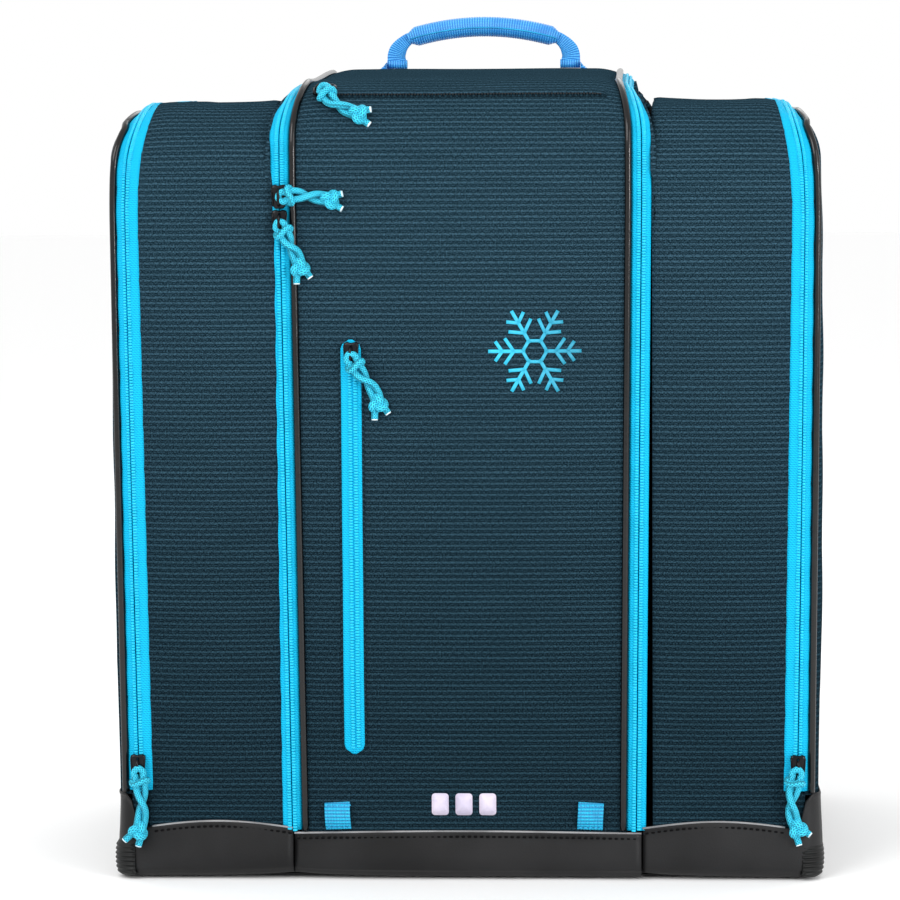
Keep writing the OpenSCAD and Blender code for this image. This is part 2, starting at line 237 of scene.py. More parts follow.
def coated_material():
    g = Graph("coated_cloth", 0.5, Specular_IOR_Level=0.25)
    place = g.place()
    grain = g.noise(place, 900.0, 2.0)
    cloud = g.noise(place, 14.0, 3.0)
    g.color(g.mix(g.band(cloud, 0.3, 0.7), srgb(19, 19, 20), srgb(34, 34, 35)))
    g.rough(g.math("MULTIPLY_ADD", cloud, 0.2, 0.36))
    g.bump(g.math("ADD", grain, g.math("MULTIPLY", cloud, 2.0)), 0.12)
    return g.material


def lining_material():
    g = Graph("black_lining", 0.75, Sheen_Weight=0.1)
    u, v, _ = g.cloth()
    weave = g.math("MULTIPLY", g.wave(u, 1.4), g.wave(v, 1.4))
    g.color(g.mix(weave, srgb(20, 21, 23), srgb(38, 40, 43)))
    g.bump(weave, 0.15)
    return g.material


def back_weave_material():
    g = Graph("black_back_weave", 0.7, Specular_IOR_Level=0.25)
    u, v, flat = g.cloth()
    weave = g.math("MULTIPLY", g.wave(u, 1.8), g.wave(v, 1.8))
    cloud = g.band(g.noise(flat, 0.02), 0.3, 0.7)
    g.color(g.mix(weave, g.mix(cloud, srgb(13, 14, 16), srgb(19, 20, 22)), srgb(34, 36, 39)))
    g.bump(g.math("ADD", weave, g.math("MULTIPLY", g.noise(flat, 0.03), 4.0)), 0.2)
    return g.material


def air_mesh_material():
    g = Graph("spacer_mesh", 0.8, Sheen_Weight=0.2)
    place = g.place()
    cells = g.nodes.new("ShaderNodeTexVoronoi")
    g.links.new(place, cells.inputs["Vector"])
    cells.inputs["Scale"].default_value = 420.0
    # painted shade: the sunken holes between the raised mesh cells are coloured much darker than the yarn
    hole = g.band(cells.outputs["Distance"], 0.15, 0.5)
    g.color(g.mix(hole, srgb(34, 36, 39), srgb(10, 11, 12)))
    g.bump(g.math("SUBTRACT", 1.0, hole), 0.5)
    return g.material


def tape_material():
    g = Graph("zip_tape", 0.65, Specular_IOR_Level=0.15)
    u, v, _ = g.cloth()
    ribs = g.wave(v, 1.3)
    twill = g.wave(g.math("ADD", u, v), 1.9)
    shade = g.math("ADD", g.math("MULTIPLY", ribs, 0.6), g.math("MULTIPLY", twill, 0.4))
    g.color(g.mix(shade, srgb(1, 138, 186), srgb(14, 186, 224)))
    g.bump(shade, 0.22)
    return g.material


def coil_material():
    g = Graph("zip_coil", 0.35, Specular_IOR_Level=0.3)
    spots = g.noise(g.place(), 500.0, 1.0)
    g.color(g.mix(spots, srgb(6, 166, 208), srgb(32, 200, 234)))
    return g.material


def cord_material():
    g = Graph("braided_cord", 0.6, Specular_IOR_Level=0.3)
    u, v, _ = g.cloth()
    over = g.wave(g.math("ADD", u, v), 1.7)
    under = g.wave(g.math("SUBTRACT", u, v), 1.7)
    braid = g.math("MAXIMUM", over, under)
    g.color(g.mix(braid, srgb(4, 98, 144), srgb(64, 216, 246)))
    g.bump(braid, 0.7)
    return g.material


def webbing_material(name, deep, light, rib=1.6, sheen=0.2):
    g = Graph(name, 0.5, Sheen_Weight=sheen, Sheen_Roughness=0.4)
    u, v, _ = g.cloth()
    ribs = g.math("MULTIPLY", g.wave(v, rib), g.math("MULTIPLY_ADD", g.wave(u, rib * 1.3), 0.3, 0.7))
    worn = g.noise(g.place(), 90.0)
    g.color(g.mix(g.math("MULTIPLY", ribs, g.band(worn, 0.1, 0.6)), deep, light))
    g.bump(ribs, 0.35)
    return g.material


def piping_material():
    g = Graph("glossy_piping", 0.2, Specular_IOR_Level=0.4)
    uneven = g.noise(g.place(), 60.0)
    g.color(g.mix(uneven, srgb(3, 3, 4), srgb(10, 11, 12)))
    g.bump(uneven, 0.3)
    return g.material


def plain_material(name, deep, light, roughness, grain=400.0, depth=0.08, **constants):
    """A moulded, enamelled or printed surface: fine grain and a slow change of shade."""
    g = Graph(name, roughness, **constants)
    place = g.place()
    g.color(g.mix(g.band(g.noise(place, grain / 12), 0.25, 0.75), deep, light))
    g.bump(g.noise(place, grain), depth)
    return g.material


def emblem_material():
    g = Graph("emblem_print", 0.42)
    u, _, flat = g.cloth()
    speck = g.noise(flat, 1.3, 2.0)
    tint = g.mix(g.band(u, 15.0, 72.0), srgb(40, 190, 228), srgb(34, 140, 170))
    g.color(g.mix(g.math("MULTIPLY", speck, 0.25), tint, srgb(20, 90, 110)))
    g.bump(speck, 0.1)
    return g.material


MATERIALS = {
    "shell": ripstop_material(),
    "coated": coated_material(),
    "lining": lining_material(),
    "back_weave": back_weave_material(),
    "air_mesh": air_mesh_material(),
    "tape": tape_material(),
    "coil": coil_material(),
    "cord": cord_material(),
    "piping": piping_material(),
    "blue_webbing": webbing_material("blue_webbing", srgb(18, 112, 196), srgb(88, 188, 248)),
    "turquoise_webbing": webbing_material(
        "turquoise_webbing", srgb(1, 118, 166), srgb(12, 190, 230), rib=2.0, sheen=0.0
    ),
    "black_webbing": webbing_material("black_webbing", srgb(12, 12, 14), srgb(44, 45, 49)),
    # painted highlight: the binding along the base's top edge is real, but its light grey colour stands for
    # the highlight along that edge
    "binding": plain_material("binding_painted_highlight", srgb(96, 96, 98), srgb(150, 150, 152), 0.5),
    "stitch": plain_material("thread", srgb(4, 4, 5), srgb(14, 14, 16), 0.7, Specular_IOR_Level=0.1),
    "stitch_blue": plain_material("blue_thread", srgb(6, 120, 176), srgb(30, 170, 220), 0.6),
    "rubber": plain_material(
        "guard_rubber", srgb(4, 7, 7), srgb(15, 19, 19), 0.5, depth=0.15, Specular_IOR_Level=0.3
    ),
    "plastic": plain_material("acetal", srgb(14, 14, 16), srgb(26, 26, 29), 0.38),
    "board": plain_material("board", srgb(24, 24, 25), srgb(40, 40, 42), 0.6),
    "slider": plain_material("slider_enamel", srgb(10, 12, 15), srgb(28, 30, 34), 0.25, Metallic=0.6),
    "cut_end": plain_material("cut_cord_end", srgb(170, 210, 224), srgb(226, 240, 246), 0.7),
    "badge": plain_material("badge_print", srgb(186, 178, 200), srgb(222, 212, 226), 0.5),
    "emblem": emblem_material(),
}


# ---------------------------------------------------------------- mesh helpers
def unit(vectors):
    """The vectors with a length of 1."""
    return vectors / np.linalg.norm(vectors, axis=-1, keepdims=True)


def arc_length(points):
    """Distance of each point from the first, along the line through them."""
    return np.concatenate([[0], np.cumsum(np.linalg.norm(np.diff(points, axis=0), axis=1))])


def interpolate(at, length, values):
    """Rows of values at the distances in at, from those at the distances in length."""
    return np.column_stack([np.interp(at, length, column) for column in values.T])


def flipped(faces, flip=True):
    return [f[::-1] for f in faces] if flip else faces


def grid_faces(rows, columns):
    """Faces of a grid whose vertices run along the columns first."""
    return [
        (r * columns + c, r * columns + c + 1, (r + 1) * columns + c + 1, (r + 1) * columns + c)
        for r in range(rows - 1)
        for c in range(columns - 1)
    ]


def ring_faces(rings, sides, closed=False):
    """Faces between rings of vertices; the last ring joins the first, or else both ends get a cap."""
    faces = [
        (
            i * sides + k,
            i * sides + (k + 1) % sides,
            (i + 1) % rings * sides + (k + 1) % sides,
            (i + 1) % rings * sides + k,
        )
        for i in range(rings if closed else rings - 1)
        for k in range(sides)
    ]
    if not closed:
        faces += [list(range(sides))[::-1], list(range((rings - 1) * sides, rings * sides))]
    return faces


class Skin:
    """Vertices in millimetres, faces, and the cloth coordinate of each vertex."""

    def __init__(self):
        self.verts, self.faces, self.cloth, self.count = [], [], [], 0

    def add(self, verts, faces, cloth=None):
        verts = np.asarray(verts, float).reshape(-1, 3)
        if cloth is None:
            cloth = verts[:, [0, 2]]
        self.verts.append(verts)
        self.cloth.append(np.asarray(cloth, float).reshape(-1, 2))
        self.faces += [[i + self.count for i in f] for f in faces]
        self.count += len(verts)
        return self

    def sheet(self, points, cloth=None, flip=False):
        """A grid of points; cloth is the pair of its coordinates, and flip turns its faces over."""
        if cloth is not None:
            cloth = np.stack(np.broadcast_arrays(*cloth), -1)
        return self.add(points, flipped(grid_faces(*points.shape[:2]), flip), cloth)

    def arrays(self):
        return np.vstack(self.verts), np.vstack(self.cloth)


def build(name, skin, material, body, nodes=(), thickness=0.0, weld=0.0):
    """Makes the object of a skin, gives it its finish, and lets it ride on its body."""
    verts, cloth = skin.arrays()
    mesh = bpy.data.meshes.new(name)
    mesh.from_pydata((verts * MM).tolist(), [], skin.faces)
    layer = mesh.attributes.new("cloth", "FLOAT_VECTOR", "POINT")
    layer.data.foreach_set("vector", np.column_stack([cloth, np.zeros(len(cloth))]).ravel())
    if weld:
        work = bmesh.new()
        work.from_mesh(mesh)
        bmesh.ops.remove_doubles(work, verts=work.verts, dist=weld * MM)
        bmesh.ops.recalc_face_normals(work, faces=work.faces)
        work.to_mesh(mesh)
        work.free()
    for polygon in mesh.polygons:
        polygon.use_smooth = True
    mesh.materials.append(MATERIALS[material])
    piece = bpy.data.objects.new(name, mesh)
    bpy.context.scene.collection.objects.link(piece)
    if thickness:
        wall = piece.modifiers.new("wall", "SOLIDIFY")
        wall.thickness = thickness * MM
        wall.offset = -1.0
    if nodes:
        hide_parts(*nodes)
    if body:
        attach(piece, body)
    return piece


def frames_along(path):
    """Side and up vectors that turn as little as they can along a path."""
    tangents = unit(np.gradient(path, axis=0))
    side = np.cross(tangents[0], (0.31, -0.87, 0.2))
    sides = []
    for tangent in tangents:
        side = unit(side - tangent * (side @ tangent))
        sides.append(side)
    sides = np.array(sides)
    return sides, np.cross(tangents, sides)


def sweep(skin, path, radius, sides=10, closed=False):
    """A round tube along a path; radius is a number or one for each point."""
    path = np.asarray(path, float)
    count = len(path)
    radius = np.broadcast_to(np.asarray(radius, float), (count,))
    side, up = frames_along(path)
    if closed:
        twist = math.atan2(side[-1] @ up[0], side[-1] @ side[0])
        turn = -twist * np.arange(count) / count
        side, up = (
            side * np.cos(turn)[:, None] + up * np.sin(turn)[:, None],
            up * np.cos(turn)[:, None] - side * np.sin(turn)[:, None],
        )
    angle = 2 * math.pi * np.arange(sides) / sides
    ring = np.cos(angle)[:, None] * side[:, None, :] + np.sin(angle)[:, None] * up[:, None, :]
    verts = path[:, None, :] + radius[:, None, None] * ring
    cloth = np.stack(np.broadcast_arrays(angle * radius.mean(), arc_length(path)[:, None]), 2)
    return skin.add(verts, ring_faces(count, sides, closed), cloth)


def smooth_path(points, count):
    """A Catmull-Rom curve through the points."""
    p = np.asarray(points, float)
    p = np.vstack([2 * p[0] - p[1], p, 2 * p[-1] - p[-2]])
    spans = len(p) - 3
    out = []
    for t in np.linspace(0, spans, count):
        i = min(int(t), spans - 1)
        f = t - i
        a, b, c, d = p[i : i + 4]
        out.append(
            0.5 * (2 * b + (c - a) * f + (2 * a - 5 * b + 4 * c - d) * f**2 + (3 * b - a - 3 * c + d) * f**3)
        )
    return np.array(out)


# ---------------------------------------------------------------- the bag's shape
def ramp(value, low, high):
    t = np.clip((value - low) / (high - low), 0, 1)
    return t * t * (3 - 2 * t)


def round_edge(a, b, a0, b0, r):
    """Rounds a square edge: what lies past a0 and past b0 moves onto a circle of radius r."""
    da = np.clip(a - a0, 0, r * 1.2)
    db = np.clip(b - b0, 0, r * 1.2)
    new_a = a - da + da * np.sqrt(1 - db**2 / (2 * r * r))
    new_b = b - db + db * np.sqrt(1 - da**2 / (2 * r * r))
    return new_a, new_b


FRONT_R = 47.0
BACK_R = 14.0


class Pod:
    """One compartment: a box whose edges are rounded, and whose faces swell."""

    def __init__(self, height, half, outer_r, inner_edge=None, plan_r=0.0, slump=0.0, shift=0.0):
        self.height, self.half, self.outer_r = height, half, outer_r
        self.inner_edge, self.plan_r, self.slump, self.shift = inner_edge, plan_r, slump, shift

    def warp(self, p):
        p = np.array(p, float)
        sign = np.sign(p[:, 0]) + (p[:, 0] == 0)
        x, y, z = np.abs(p[:, 0]), p[:, 1], p[:, 2]
        if self.plan_r:
            r = self.plan_r
            x, front = round_edge(x, -y, self.half - r, -(FRONT_Y + r), r)
            x, back = round_edge(x, -front, self.half - r, BACK_Y - r, r)
            y = back
        front, z = round_edge(-y, z, -(FRONT_Y + FRONT_R), self.height - FRONT_R, FRONT_R)
        y, z = round_edge(-front, z, BACK_Y - BACK_R, self.height - BACK_R, BACK_R)
        x, z = round_edge(x, z, self.half - self.outer_r, self.height - self.outer_r, self.outer_r)
        if self.inner_edge is not None:
            inner_r = 7.0
            inner, z = round_edge(-x, z, -(self.inner_edge + inner_r), self.height - inner_r, inner_r)
            x = -inner
        sunk = ramp(z, self.height - 110, self.height) * (1 - ramp(y, FRONT_Y + FRONT_R, 70))
        fall = 5.0 * ramp(z, self.height - 30, self.height) * ramp(y, 50, 88)
        return np.column_stack([x * sign + self.shift, y, z - self.slump * sunk - fall])

    def on_box(self, x, v):
        """Point of the square box at x across and v along its front, top and back."""
        x, v = np.broadcast_arrays(np.asarray(x, float), np.asarray(v, float))
        x, v = x.ravel(), v.ravel()
        top = np.clip(v - self.height, 0, DEPTH)
        down = np.clip(v - self.height - DEPTH, 0, None)
        y = FRONT_Y + top
        z = np.clip(v, None, self.height) - down
        return np.column_stack([x, y, z])

    def surface(self, x, v, lift=0.0, swell=None):
        """Points on the rounded, swollen compartment, lifted off its face."""
        x, v = np.broadcast_arrays(np.asarray(x, float), np.asarray(v, float))
        shape = x.shape
        x, v = x.ravel(), v.ravel()
        step = 1.5
        across = self.warp(self.on_box(x + step, v)) - self.warp(self.on_box(x - step, v))
        up = self.warp(self.on_box(x, v + step)) - self.warp(self.on_box(x, v - step))
        normal = np.cross(across, up)
        normal /= np.linalg.norm(normal, axis=1)[:, None] + 1e-9
        rise = np.broadcast_to(np.asarray(lift, float), shape).ravel()
        if swell is not None:
            rise = rise + swell(x, v)
        return (self.warp(self.on_box(x, v)) + normal * rise[:, None]).reshape(*shape, 3)


MIDDLE = Pod(MID_H, MID_HALF, 38.0, slump=9.0, shift=-2.0)
BOOT = Pod(SIDE_H, BOOT_HALF, 37.0, inner_edge=POD_IN - 1, plan_r=11.0, slump=3.0)


def wrinkles(x, v, seed):
    """Shallow folds in loosely stretched cloth."""
    rng = np.random.default_rng(seed)
    total = np.zeros_like(x)
    for _ in range(7):
        slant, length, phase = rng.uniform(-0.9, 0.9), rng.uniform(45, 120), rng.uniform(0, 6.28)
        total += np.sin((v * math.cos(slant) + x * math.sin(slant)) * 2 * math.pi / length + phase)
    return total / 7


def mid_zip(v):
    return np.interp(v, [0, 400], [101, 105])


def side_zip(v):
    """The outer zips run up the front, over the top and down the back, the same each way."""
    v = np.minimum(v, 2 * SIDE_H + DEPTH - np.asarray(v, float))
    return np.interp(v, [0, 400], [193, 198]) - 4 * ramp(v, 385, SIDE_H + 8)


PANEL_EDGE = MID_TAPE_W + 4.0


def mid_swell(x, v):
    edge = mid_zip(v) - PANEL_EDGE
    t = np.clip(1 - (x / edge) ** 2, 0, 1)
    rise = 6.0 * t**0.75 * ramp(v, BASE_H, 130) * (1 - ramp(v, MID_H - 90, MID_H))
    return rise + 1.4 * t**0.5 * wrinkles(x, v, 3) * (1 - 0.6 * ramp(v, MID_H - 60, MID_H))


def boot_swell(x, v):
    start, end = POD_IN, side_zip(v) - TAPE_W
    t = np.clip((np.abs(x) - start) / (end - start), 0, 1)
    arch = (4 * t * (1 - t)) ** 0.7
    rise = 5.5 * arch * ramp(v, BASE_H, 120) * (1 - ramp(v, SIDE_H - 100, SIDE_H))
    sag = -3.0 * arch * ramp(v, SIDE_H, SIDE_H + 80)
    return rise + sag + 1.5 * arch * wrinkles(x, v, 5 if x.mean() > 0 else 8)


def between(left, right, v, columns):
    """Grids of x and v that fill the space between two lines."""
    t = np.linspace(0, 1, columns)
    x = left(v)[:, None] * (1 - t) + right(v)[:, None] * t
    return x, np.broadcast_to(v[:, None], x.shape)


def panel(skin, pod, left, right, v0, v1, swell, columns=40, step=6.0, lift=0.0, hem=6.0):
    """A cloth panel between two lines, with its edges turned in by a hem."""
    x, v = between(left, right, np.linspace(v0, v1, int((v1 - v0) / step) + 1), columns)
    points = pod.surface(x, v, lift, swell)
    inner = pod.surface(x, v, lift - hem, swell)
    points = np.concatenate([inner[:, :1], points, inner[:, -1:]], axis=1)
    x = np.concatenate([x[:, :1] - hem, x, x[:, -1:] + hem], axis=1)
    length = arc_length(points[:, points.shape[1] // 2]) + v0
    skin.sheet(points, (x, length[:, None]))


def constant(value):
    return lambda v: np.full_like(np.asarray(v, float), value)


def beside(line, offset, side):
    return lambda v: side * (line(v) + offset)


def ordered(line, side, a, b):
    """The two edges at a and b from a zip line, the one with the lower x first."""
    return [beside(line, a, side), beside(line, b, side)][::side]


# ---------------------------------------------------------------- zips
TOOTH_PITCH = 1.7
TOOTH_HALF = 0.58
TOOTH_ACROSS = np.array([0.25, 0.7, 2.1, 2.9])
TOOTH_HEIGHT = np.array([0.9, 2.0, 2.0, 1.0])


def add_tape(skin, pod, line, side, a, b, v0, v1, swell):
    """One half of a zip's tape, from a to b beside its line, sloping down from the teeth."""
    width = max(abs(a), abs(b))
    x, v = between(*ordered(line, side, a, b), np.linspace(v0, v1, int((v1 - v0) / 5) + 1), 6)
    off = np.abs(np.abs(x) - line(v))
    lift = 1.0 - 0.9 * (off / width) ** 2 + 0.18 * np.sin(v * 0.23 + side)
    skin.sheet(pod.surface(x, v, lift, swell), (x, v))


def add_teeth(skin, pod, start, end, hand, place, flip, swell=None):
    """One row of coil teeth from start to end along a zip; hand says which side of its line they lie on.

    place gives x and v from the middle of a tooth, its two edges along the zip, and its points across it.
    """
    count = int((end - start) / TOOTH_PITCH)
    middle = start + TOOTH_PITCH * (np.arange(count) + (0.5 if hand > 0 else 0.0))[:, None, None]
    edges = middle + TOOTH_HALF * np.array([-1, 1])
    x, v = np.broadcast_arrays(*place(middle, edges, hand * TOOTH_ACROSS[:, None]))
    faces = []
    for base in range(0, 8 * count, 8):
        faces += [(base + i, base + i + 2, base + i + 3, base + i + 1) for i in (0, 2, 4)]
        faces += [(base + 6, base + 4, base + 2, base), (base + 1, base + 3, base + 5, base + 7)]
    points = pod.surface(x, v, TOOTH_HEIGHT[:, None], swell)
    skin.add(points, flipped(faces, flip), np.stack([x, v], -1))


def add_coil(skin, pod, line, side, hand, v0, v1, swell):
    """Teeth along a zip line that runs up the front and over the top."""
    add_teeth(skin, pod, v0, v1, hand, lambda middle, edges, across: (side * (line(middle) + across), edges),
              side * hand < 0, swell)


def zip_half(name, pod, line, sides, hand, v0, v1, body, node, swell=None, width=TAPE_W, extra=None):
    """A tape with its row of teeth, on one side of a zip line."""
    tape, coil = Skin(), Skin()
    a, b = (0.25, width) if hand > 0 else (-width, -0.25)
    for side in sides:
        add_tape(tape, pod, line, side, a, b, v0, v1, swell)
        add_coil(coil, pod, line, side, hand, v0, v1, swell)
    if extra:
        extra(tape, coil)
    build(name, tape, "tape", body, [node], thickness=0.9)
    build(name + "_teeth", coil, "coil", body)


MID_V1 = MID_H + CROSS_Y - FRONT_Y


def cross_zip(hand):
    """The run of the middle zip across the back of the top, between its two corners."""
    half = mid_zip(MID_H) - 3

    def extra(tape, coil):
        middle = MID_V1 + 0.2
        across = np.sort(hand * np.linspace(0.25, TAPE_W, 6))
        x, v = np.meshgrid(np.linspace(-half, half, 60), middle + across)
        tape.sheet(MIDDLE.surface(x, v, 1.0 - 0.9 * (np.abs(v - middle) / TAPE_W) ** 2), (v, x))
        add_teeth(coil, MIDDLE, -half, half, hand, lambda _, edges, across: (edges, middle + across),
                  hand > 0)

    return extra


ZIP_FOOT = 29.5
zip_half("center_zip_outer_tape", MIDDLE, mid_zip, (-1, 1), 1, ZIP_FOOT, MID_V1, "shell",
         "center_zip_frame", width=MID_TAPE_W, extra=cross_zip(1))
zip_half("center_zip_flap_tape", MIDDLE, mid_zip, (-1, 1), -1, ZIP_FOOT, MID_V1, "front_flap",
         "center_zip_panel", width=MID_TAPE_W, extra=cross_zip(-1))
SIDE_V1 = 2 * SIDE_H + DEPTH - SKIRT_H - 3
for word, side in SIDES.items():
    zip_half(f"{word}_zip_bag_tape", BOOT, side_zip, (side,), -1, SKIRT_H + 3, SIDE_V1, "shell",
             f"outer_zip_frame_{word}")
    zip_half(f"{word}_zip_flap_tape", BOOT, side_zip, (side,), 1, SKIRT_H + 3, SIDE_V1, f"{word}_flap",
             f"outer_zip_side_{word}")


# ---------------------------------------------------------------- cloth panels of the shell
def stitches(skin, points, normals, length=2.6, width=0.55, height=0.35):
    """A row of short raised stitches centred on the points and laid along them; one normal can do for all."""
    points = np.asarray(points, float)
    normals = np.broadcast_to(np.asarray(normals, float), points.shape)
    run = unit(np.gradient(points, axis=0))
    outline = ((-1, 0, -0.2), (-0.6, 1, 0), (0.6, 1, 0), (1, 0, -0.2), (0.6, -1, 0), (-0.6, -1, 0))
    faces = [(0, 6, 1), (1, 6, 7, 2), (2, 7, 3), (3, 7, 4), (4, 7, 6, 5), (5, 6, 0)]
    for p, n, r, s in zip(points, normals, run, np.cross(normals, run)):
        corners = [p + r * length / 2 * a + s * width * b + n * h for a, b, h in outline]
        crest = [p - r * length * 0.25 + n * height, p + r * length * 0.25 + n * height]
        skin.add(corners + crest, faces)


def seam_run(pod, x, v, lift, swell=None, pitch=4.0):
    """Evenly spaced points and normals along a line drawn on a compartment."""
    x, v = np.broadcast_arrays(np.asarray(x, float), np.asarray(v, float))
    fine = pod.surface(x, v, lift, swell)
    over = pod.surface(x, v, lift + 1, swell)
    length = arc_length(fine)
    at = np.arange(pitch / 2, length[-1], pitch)
    return interpolate(at, length, fine), unit(interpolate(at, length, over - fine))


CLOTH_THICK = 2.6
PANEL_FOOT = 25.0

front = Skin()
panel(front, MIDDLE, beside(mid_zip, -PANEL_EDGE + 4, -1), beside(mid_zip, -PANEL_EDGE + 4, 1),
      PANEL_FOOT, MID_V1 - TAPE_W + 1, mid_swell, columns=60, step=5.0)
build("front_flap_cloth", front, "shell", "front_flap", ["front_panel", "top_panel"],
      thickness=CLOTH_THICK)

for word, side in SIDES.items():
    cloth = Skin()
    edges = [beside(constant(POD_IN), 0, side), beside(side_zip, -TAPE_W + 3, side)][::side]
    panel(cloth, BOOT, *edges, PANEL_FOOT, SIDE_H + DEPTH + BACK_R, boot_swell, columns=30, hem=16.0)
    foot = ordered(side_zip, side, -TAPE_W + 2, TAPE_W - 2)
    panel(cloth, BOOT, *foot, PANEL_FOOT, SKIRT_H + 2, boot_swell, columns=8, hem=4.0, lift=-0.8)
    build(f"{word}_boot_cloth", cloth, "shell", "shell",
          [f"boot_front_{word}", f"boot_top_{word}"], thickness=CLOTH_THICK)

rear = Skin()
panel(rear, MIDDLE, constant(-MID_HALF), constant(MID_HALF), MID_V1 + TAPE_W - 1,
      MID_H + DEPTH + BACK_R + 4, None, columns=50, step=3.0)
build("rear_top_cloth", rear, "shell", "shell", ["rear_top_panel"], thickness=CLOTH_THICK)

shoulder = Skin()
drop = np.linspace(0, 34, 7)
for side in (-1, 1):
    v = np.linspace(MID_H - 60, MID_V1 + TAPE_W, 70)
    behind = np.linspace(MID_V1 + TAPE_W - 2, MID_H + DEPTH - 1, 16)
    for edge in (MIDDLE.surface(side * (mid_zip(v) + MID_TAPE_W - 0.5), v),
                 MIDDLE.surface(np.full(len(behind), side * (MID_HALF - 0.5)), behind, -0.5)):
        wall = np.repeat(edge[:, None, :], len(drop), axis=1)
        wall[:, :, 2] -= drop
        wall[:, :, 0] += side * np.minimum(drop, 8) * 0.25
        shoulder.sheet(wall[:, ::-side])
build("middle_shoulder_cloth", shoulder, "shell", "shell", thickness=1.6)


def door_swell(y, z):
    """How far the outer side panel stands out at a place on it."""
    t = np.clip(1 - ((y - (FRONT_Y + BACK_Y) / 2) / (DEPTH / 2)) ** 2, 0, 1)
    s = ramp(z, SKIRT_H, SKIRT_H + 110) * (1 - 0.75 * ramp(z, SIDE_H - 120, SIDE_H))
    return 6.0 * t**0.8 * s


def door(word, side):
    """The outer side panel with the strips that wrap round its front, back and top edges."""
    z = np.linspace(SKIRT_H + 0.6, SIDE_H, 80)
    y = np.linspace(FRONT_Y, BACK_Y, 56)
    wrap = np.linspace(0, 1, 7)
    verts, cloth = [], []
    edge = side_zip(z) + TAPE_W - 3
    for start, height in zip(edge, z):
        row = [(start + (BOOT_HALF - start) * t, FRONT_Y, height) for t in wrap[:-1]]
        row += [(BOOT_HALF, yy, height) for yy in y]
        row += [(BOOT_HALF - (BOOT_HALF - start) * t, BACK_Y, height) for t in wrap[1:]]
        verts += row
        cloth += [(run, height) for run in arc_length(row)]
    skin = Skin()
    flat = np.array(verts)
    out = BOOT.warp(flat)
    swell = door_swell(flat[:, 1], flat[:, 2]) * (flat[:, 0] > BOOT_HALF - 0.01)
    out[:, 0] += swell + 0.9 * wrinkles(flat[:, 1], flat[:, 2], 11) * (swell > 1.0)
    top_x = np.linspace(edge[-1], BOOT_HALF, 7)
    top = np.array([(x, yy, SIDE_H) for x in top_x for yy in y])
    top_out = BOOT.warp(top)
    top_out[:, 0] += door_swell(top[:, 1], top[:, 2]) * (top[:, 0] > BOOT_HALF - 0.01)
    top_cloth = [(yy - FRONT_Y, SIDE_H + BOOT_HALF - x) for x in top_x for yy in y]
    for points, faces, coordinates in (
        (out, grid_faces(len(z), len(row)), cloth),
        (top_out, flipped(grid_faces(len(top_x), len(y))), top_cloth),
    ):
        points[:, 0] *= side
        skin.add(points, flipped(faces, side < 0), coordinates)
    build(f"{word}_side_cloth", skin, "shell", f"{word}_flap",
          [f"side_panel_{word}"], thickness=CLOTH_THICK, weld=0.05)


for word, side in SIDES.items():
    door(word, side)


# ---------------------------------------------------------------- piping
def piping(skin, pod, line, side, offset, v0, v1, swell=None):
    v = np.linspace(v0, v1, int((v1 - v0) / 5))
    sweep(skin, pod.surface(side * (line(v) + offset), v, 1.0, swell), PIPING_R, 12)


trim = Skin()
for side in (-1, 1):
    piping(trim, MIDDLE, mid_zip, side, -MID_TAPE_W - PIPING_R, ZIP_FOOT, MID_V1 - TAPE_W, mid_swell)
build("front_flap_piping", trim, "piping", "front_flap", ["panel_piping"])
for word, side in SIDES.items():
    trim = Skin()
    piping(trim, BOOT, side_zip, side, TAPE_W + PIPING_R, SKIRT_H + 2, SIDE_V1)
    build(f"{word}_flap_piping", trim, "piping", f"{word}_flap", [f"side_piping_{word}"])


# ---------------------------------------------------------------- on the front: pocket, emblem, loops
def mid_front(x, z, lift):
    return MIDDLE.surface(x, z, lift, mid_swell)


def frame_at(pod, x, v, swell=None):
    """Origin, across, along and outward vectors at a place on a compartment."""
    p = pod.surface(np.array([x, x + 1.0, x]), np.array([v, v, v + 1.0]), 0.0, swell)
    across = unit(p[1] - p[0])
    along = p[2] - p[0]
    along = unit(along - across * (along @ across))
    return p[0], across, along, np.cross(across, along)


def placed(points, place):
    """Points given across, along and out, moved to a place that frame_at returned."""
    origin, across, along, out = place
    points = np.asarray(points, float)
    return origin + points[:, :1] * across + points[:, 1:2] * along + points[:, 2:] * out


POCKET = box_mm("pocket_zip")
POCKET_X = middle_of("pocket_zip")[0]
POCKET_LINE_X = POCKET_X + 0.8
POCKET_V = (POCKET[0][2], POCKET[1][2])
POCKET_HALF = 6.0

v = np.linspace(*POCKET_V, 90)
end = np.minimum(v - POCKET_V[0], POCKET_V[1] - v)
half = POCKET_HALF * np.sqrt(1 - (1 - np.clip(end / POCKET_HALF, 0.02, 1)) ** 2)
t = np.linspace(-1, 1, 11)
xx = POCKET_X + half[:, None] * t
vv = np.broadcast_to(v[:, None], xx.shape)
tape = Skin().sheet(mid_front(xx, vv, 1.3 - 0.5 * t**2), (xx, vv))
build("pocket_zip_tape", tape, "tape", "front_flap", ["pocket_zip"], thickness=1.2)
coil = Skin()
for hand in (-1, 1):
    add_coil(coil, MIDDLE, constant(POCKET_LINE_X), 1, hand, POCKET_V[0] + 4, POCKET_V[1] - 6,
             lambda x, v: mid_swell(x, v) + 0.4)
build("pocket_zip_teeth", coil, "coil", "front_flap")
welt = Skin()
for side in (-1, 1):
    v = np.linspace(POCKET_V[0] + 5, POCKET_V[1] - 5, 70)
    sweep(welt, mid_front(POCKET_X + side * (POCKET_HALF + 0.6), v, 0.15), 0.8, 8)
build("pocket_welt", welt, "shell", "front_flap")

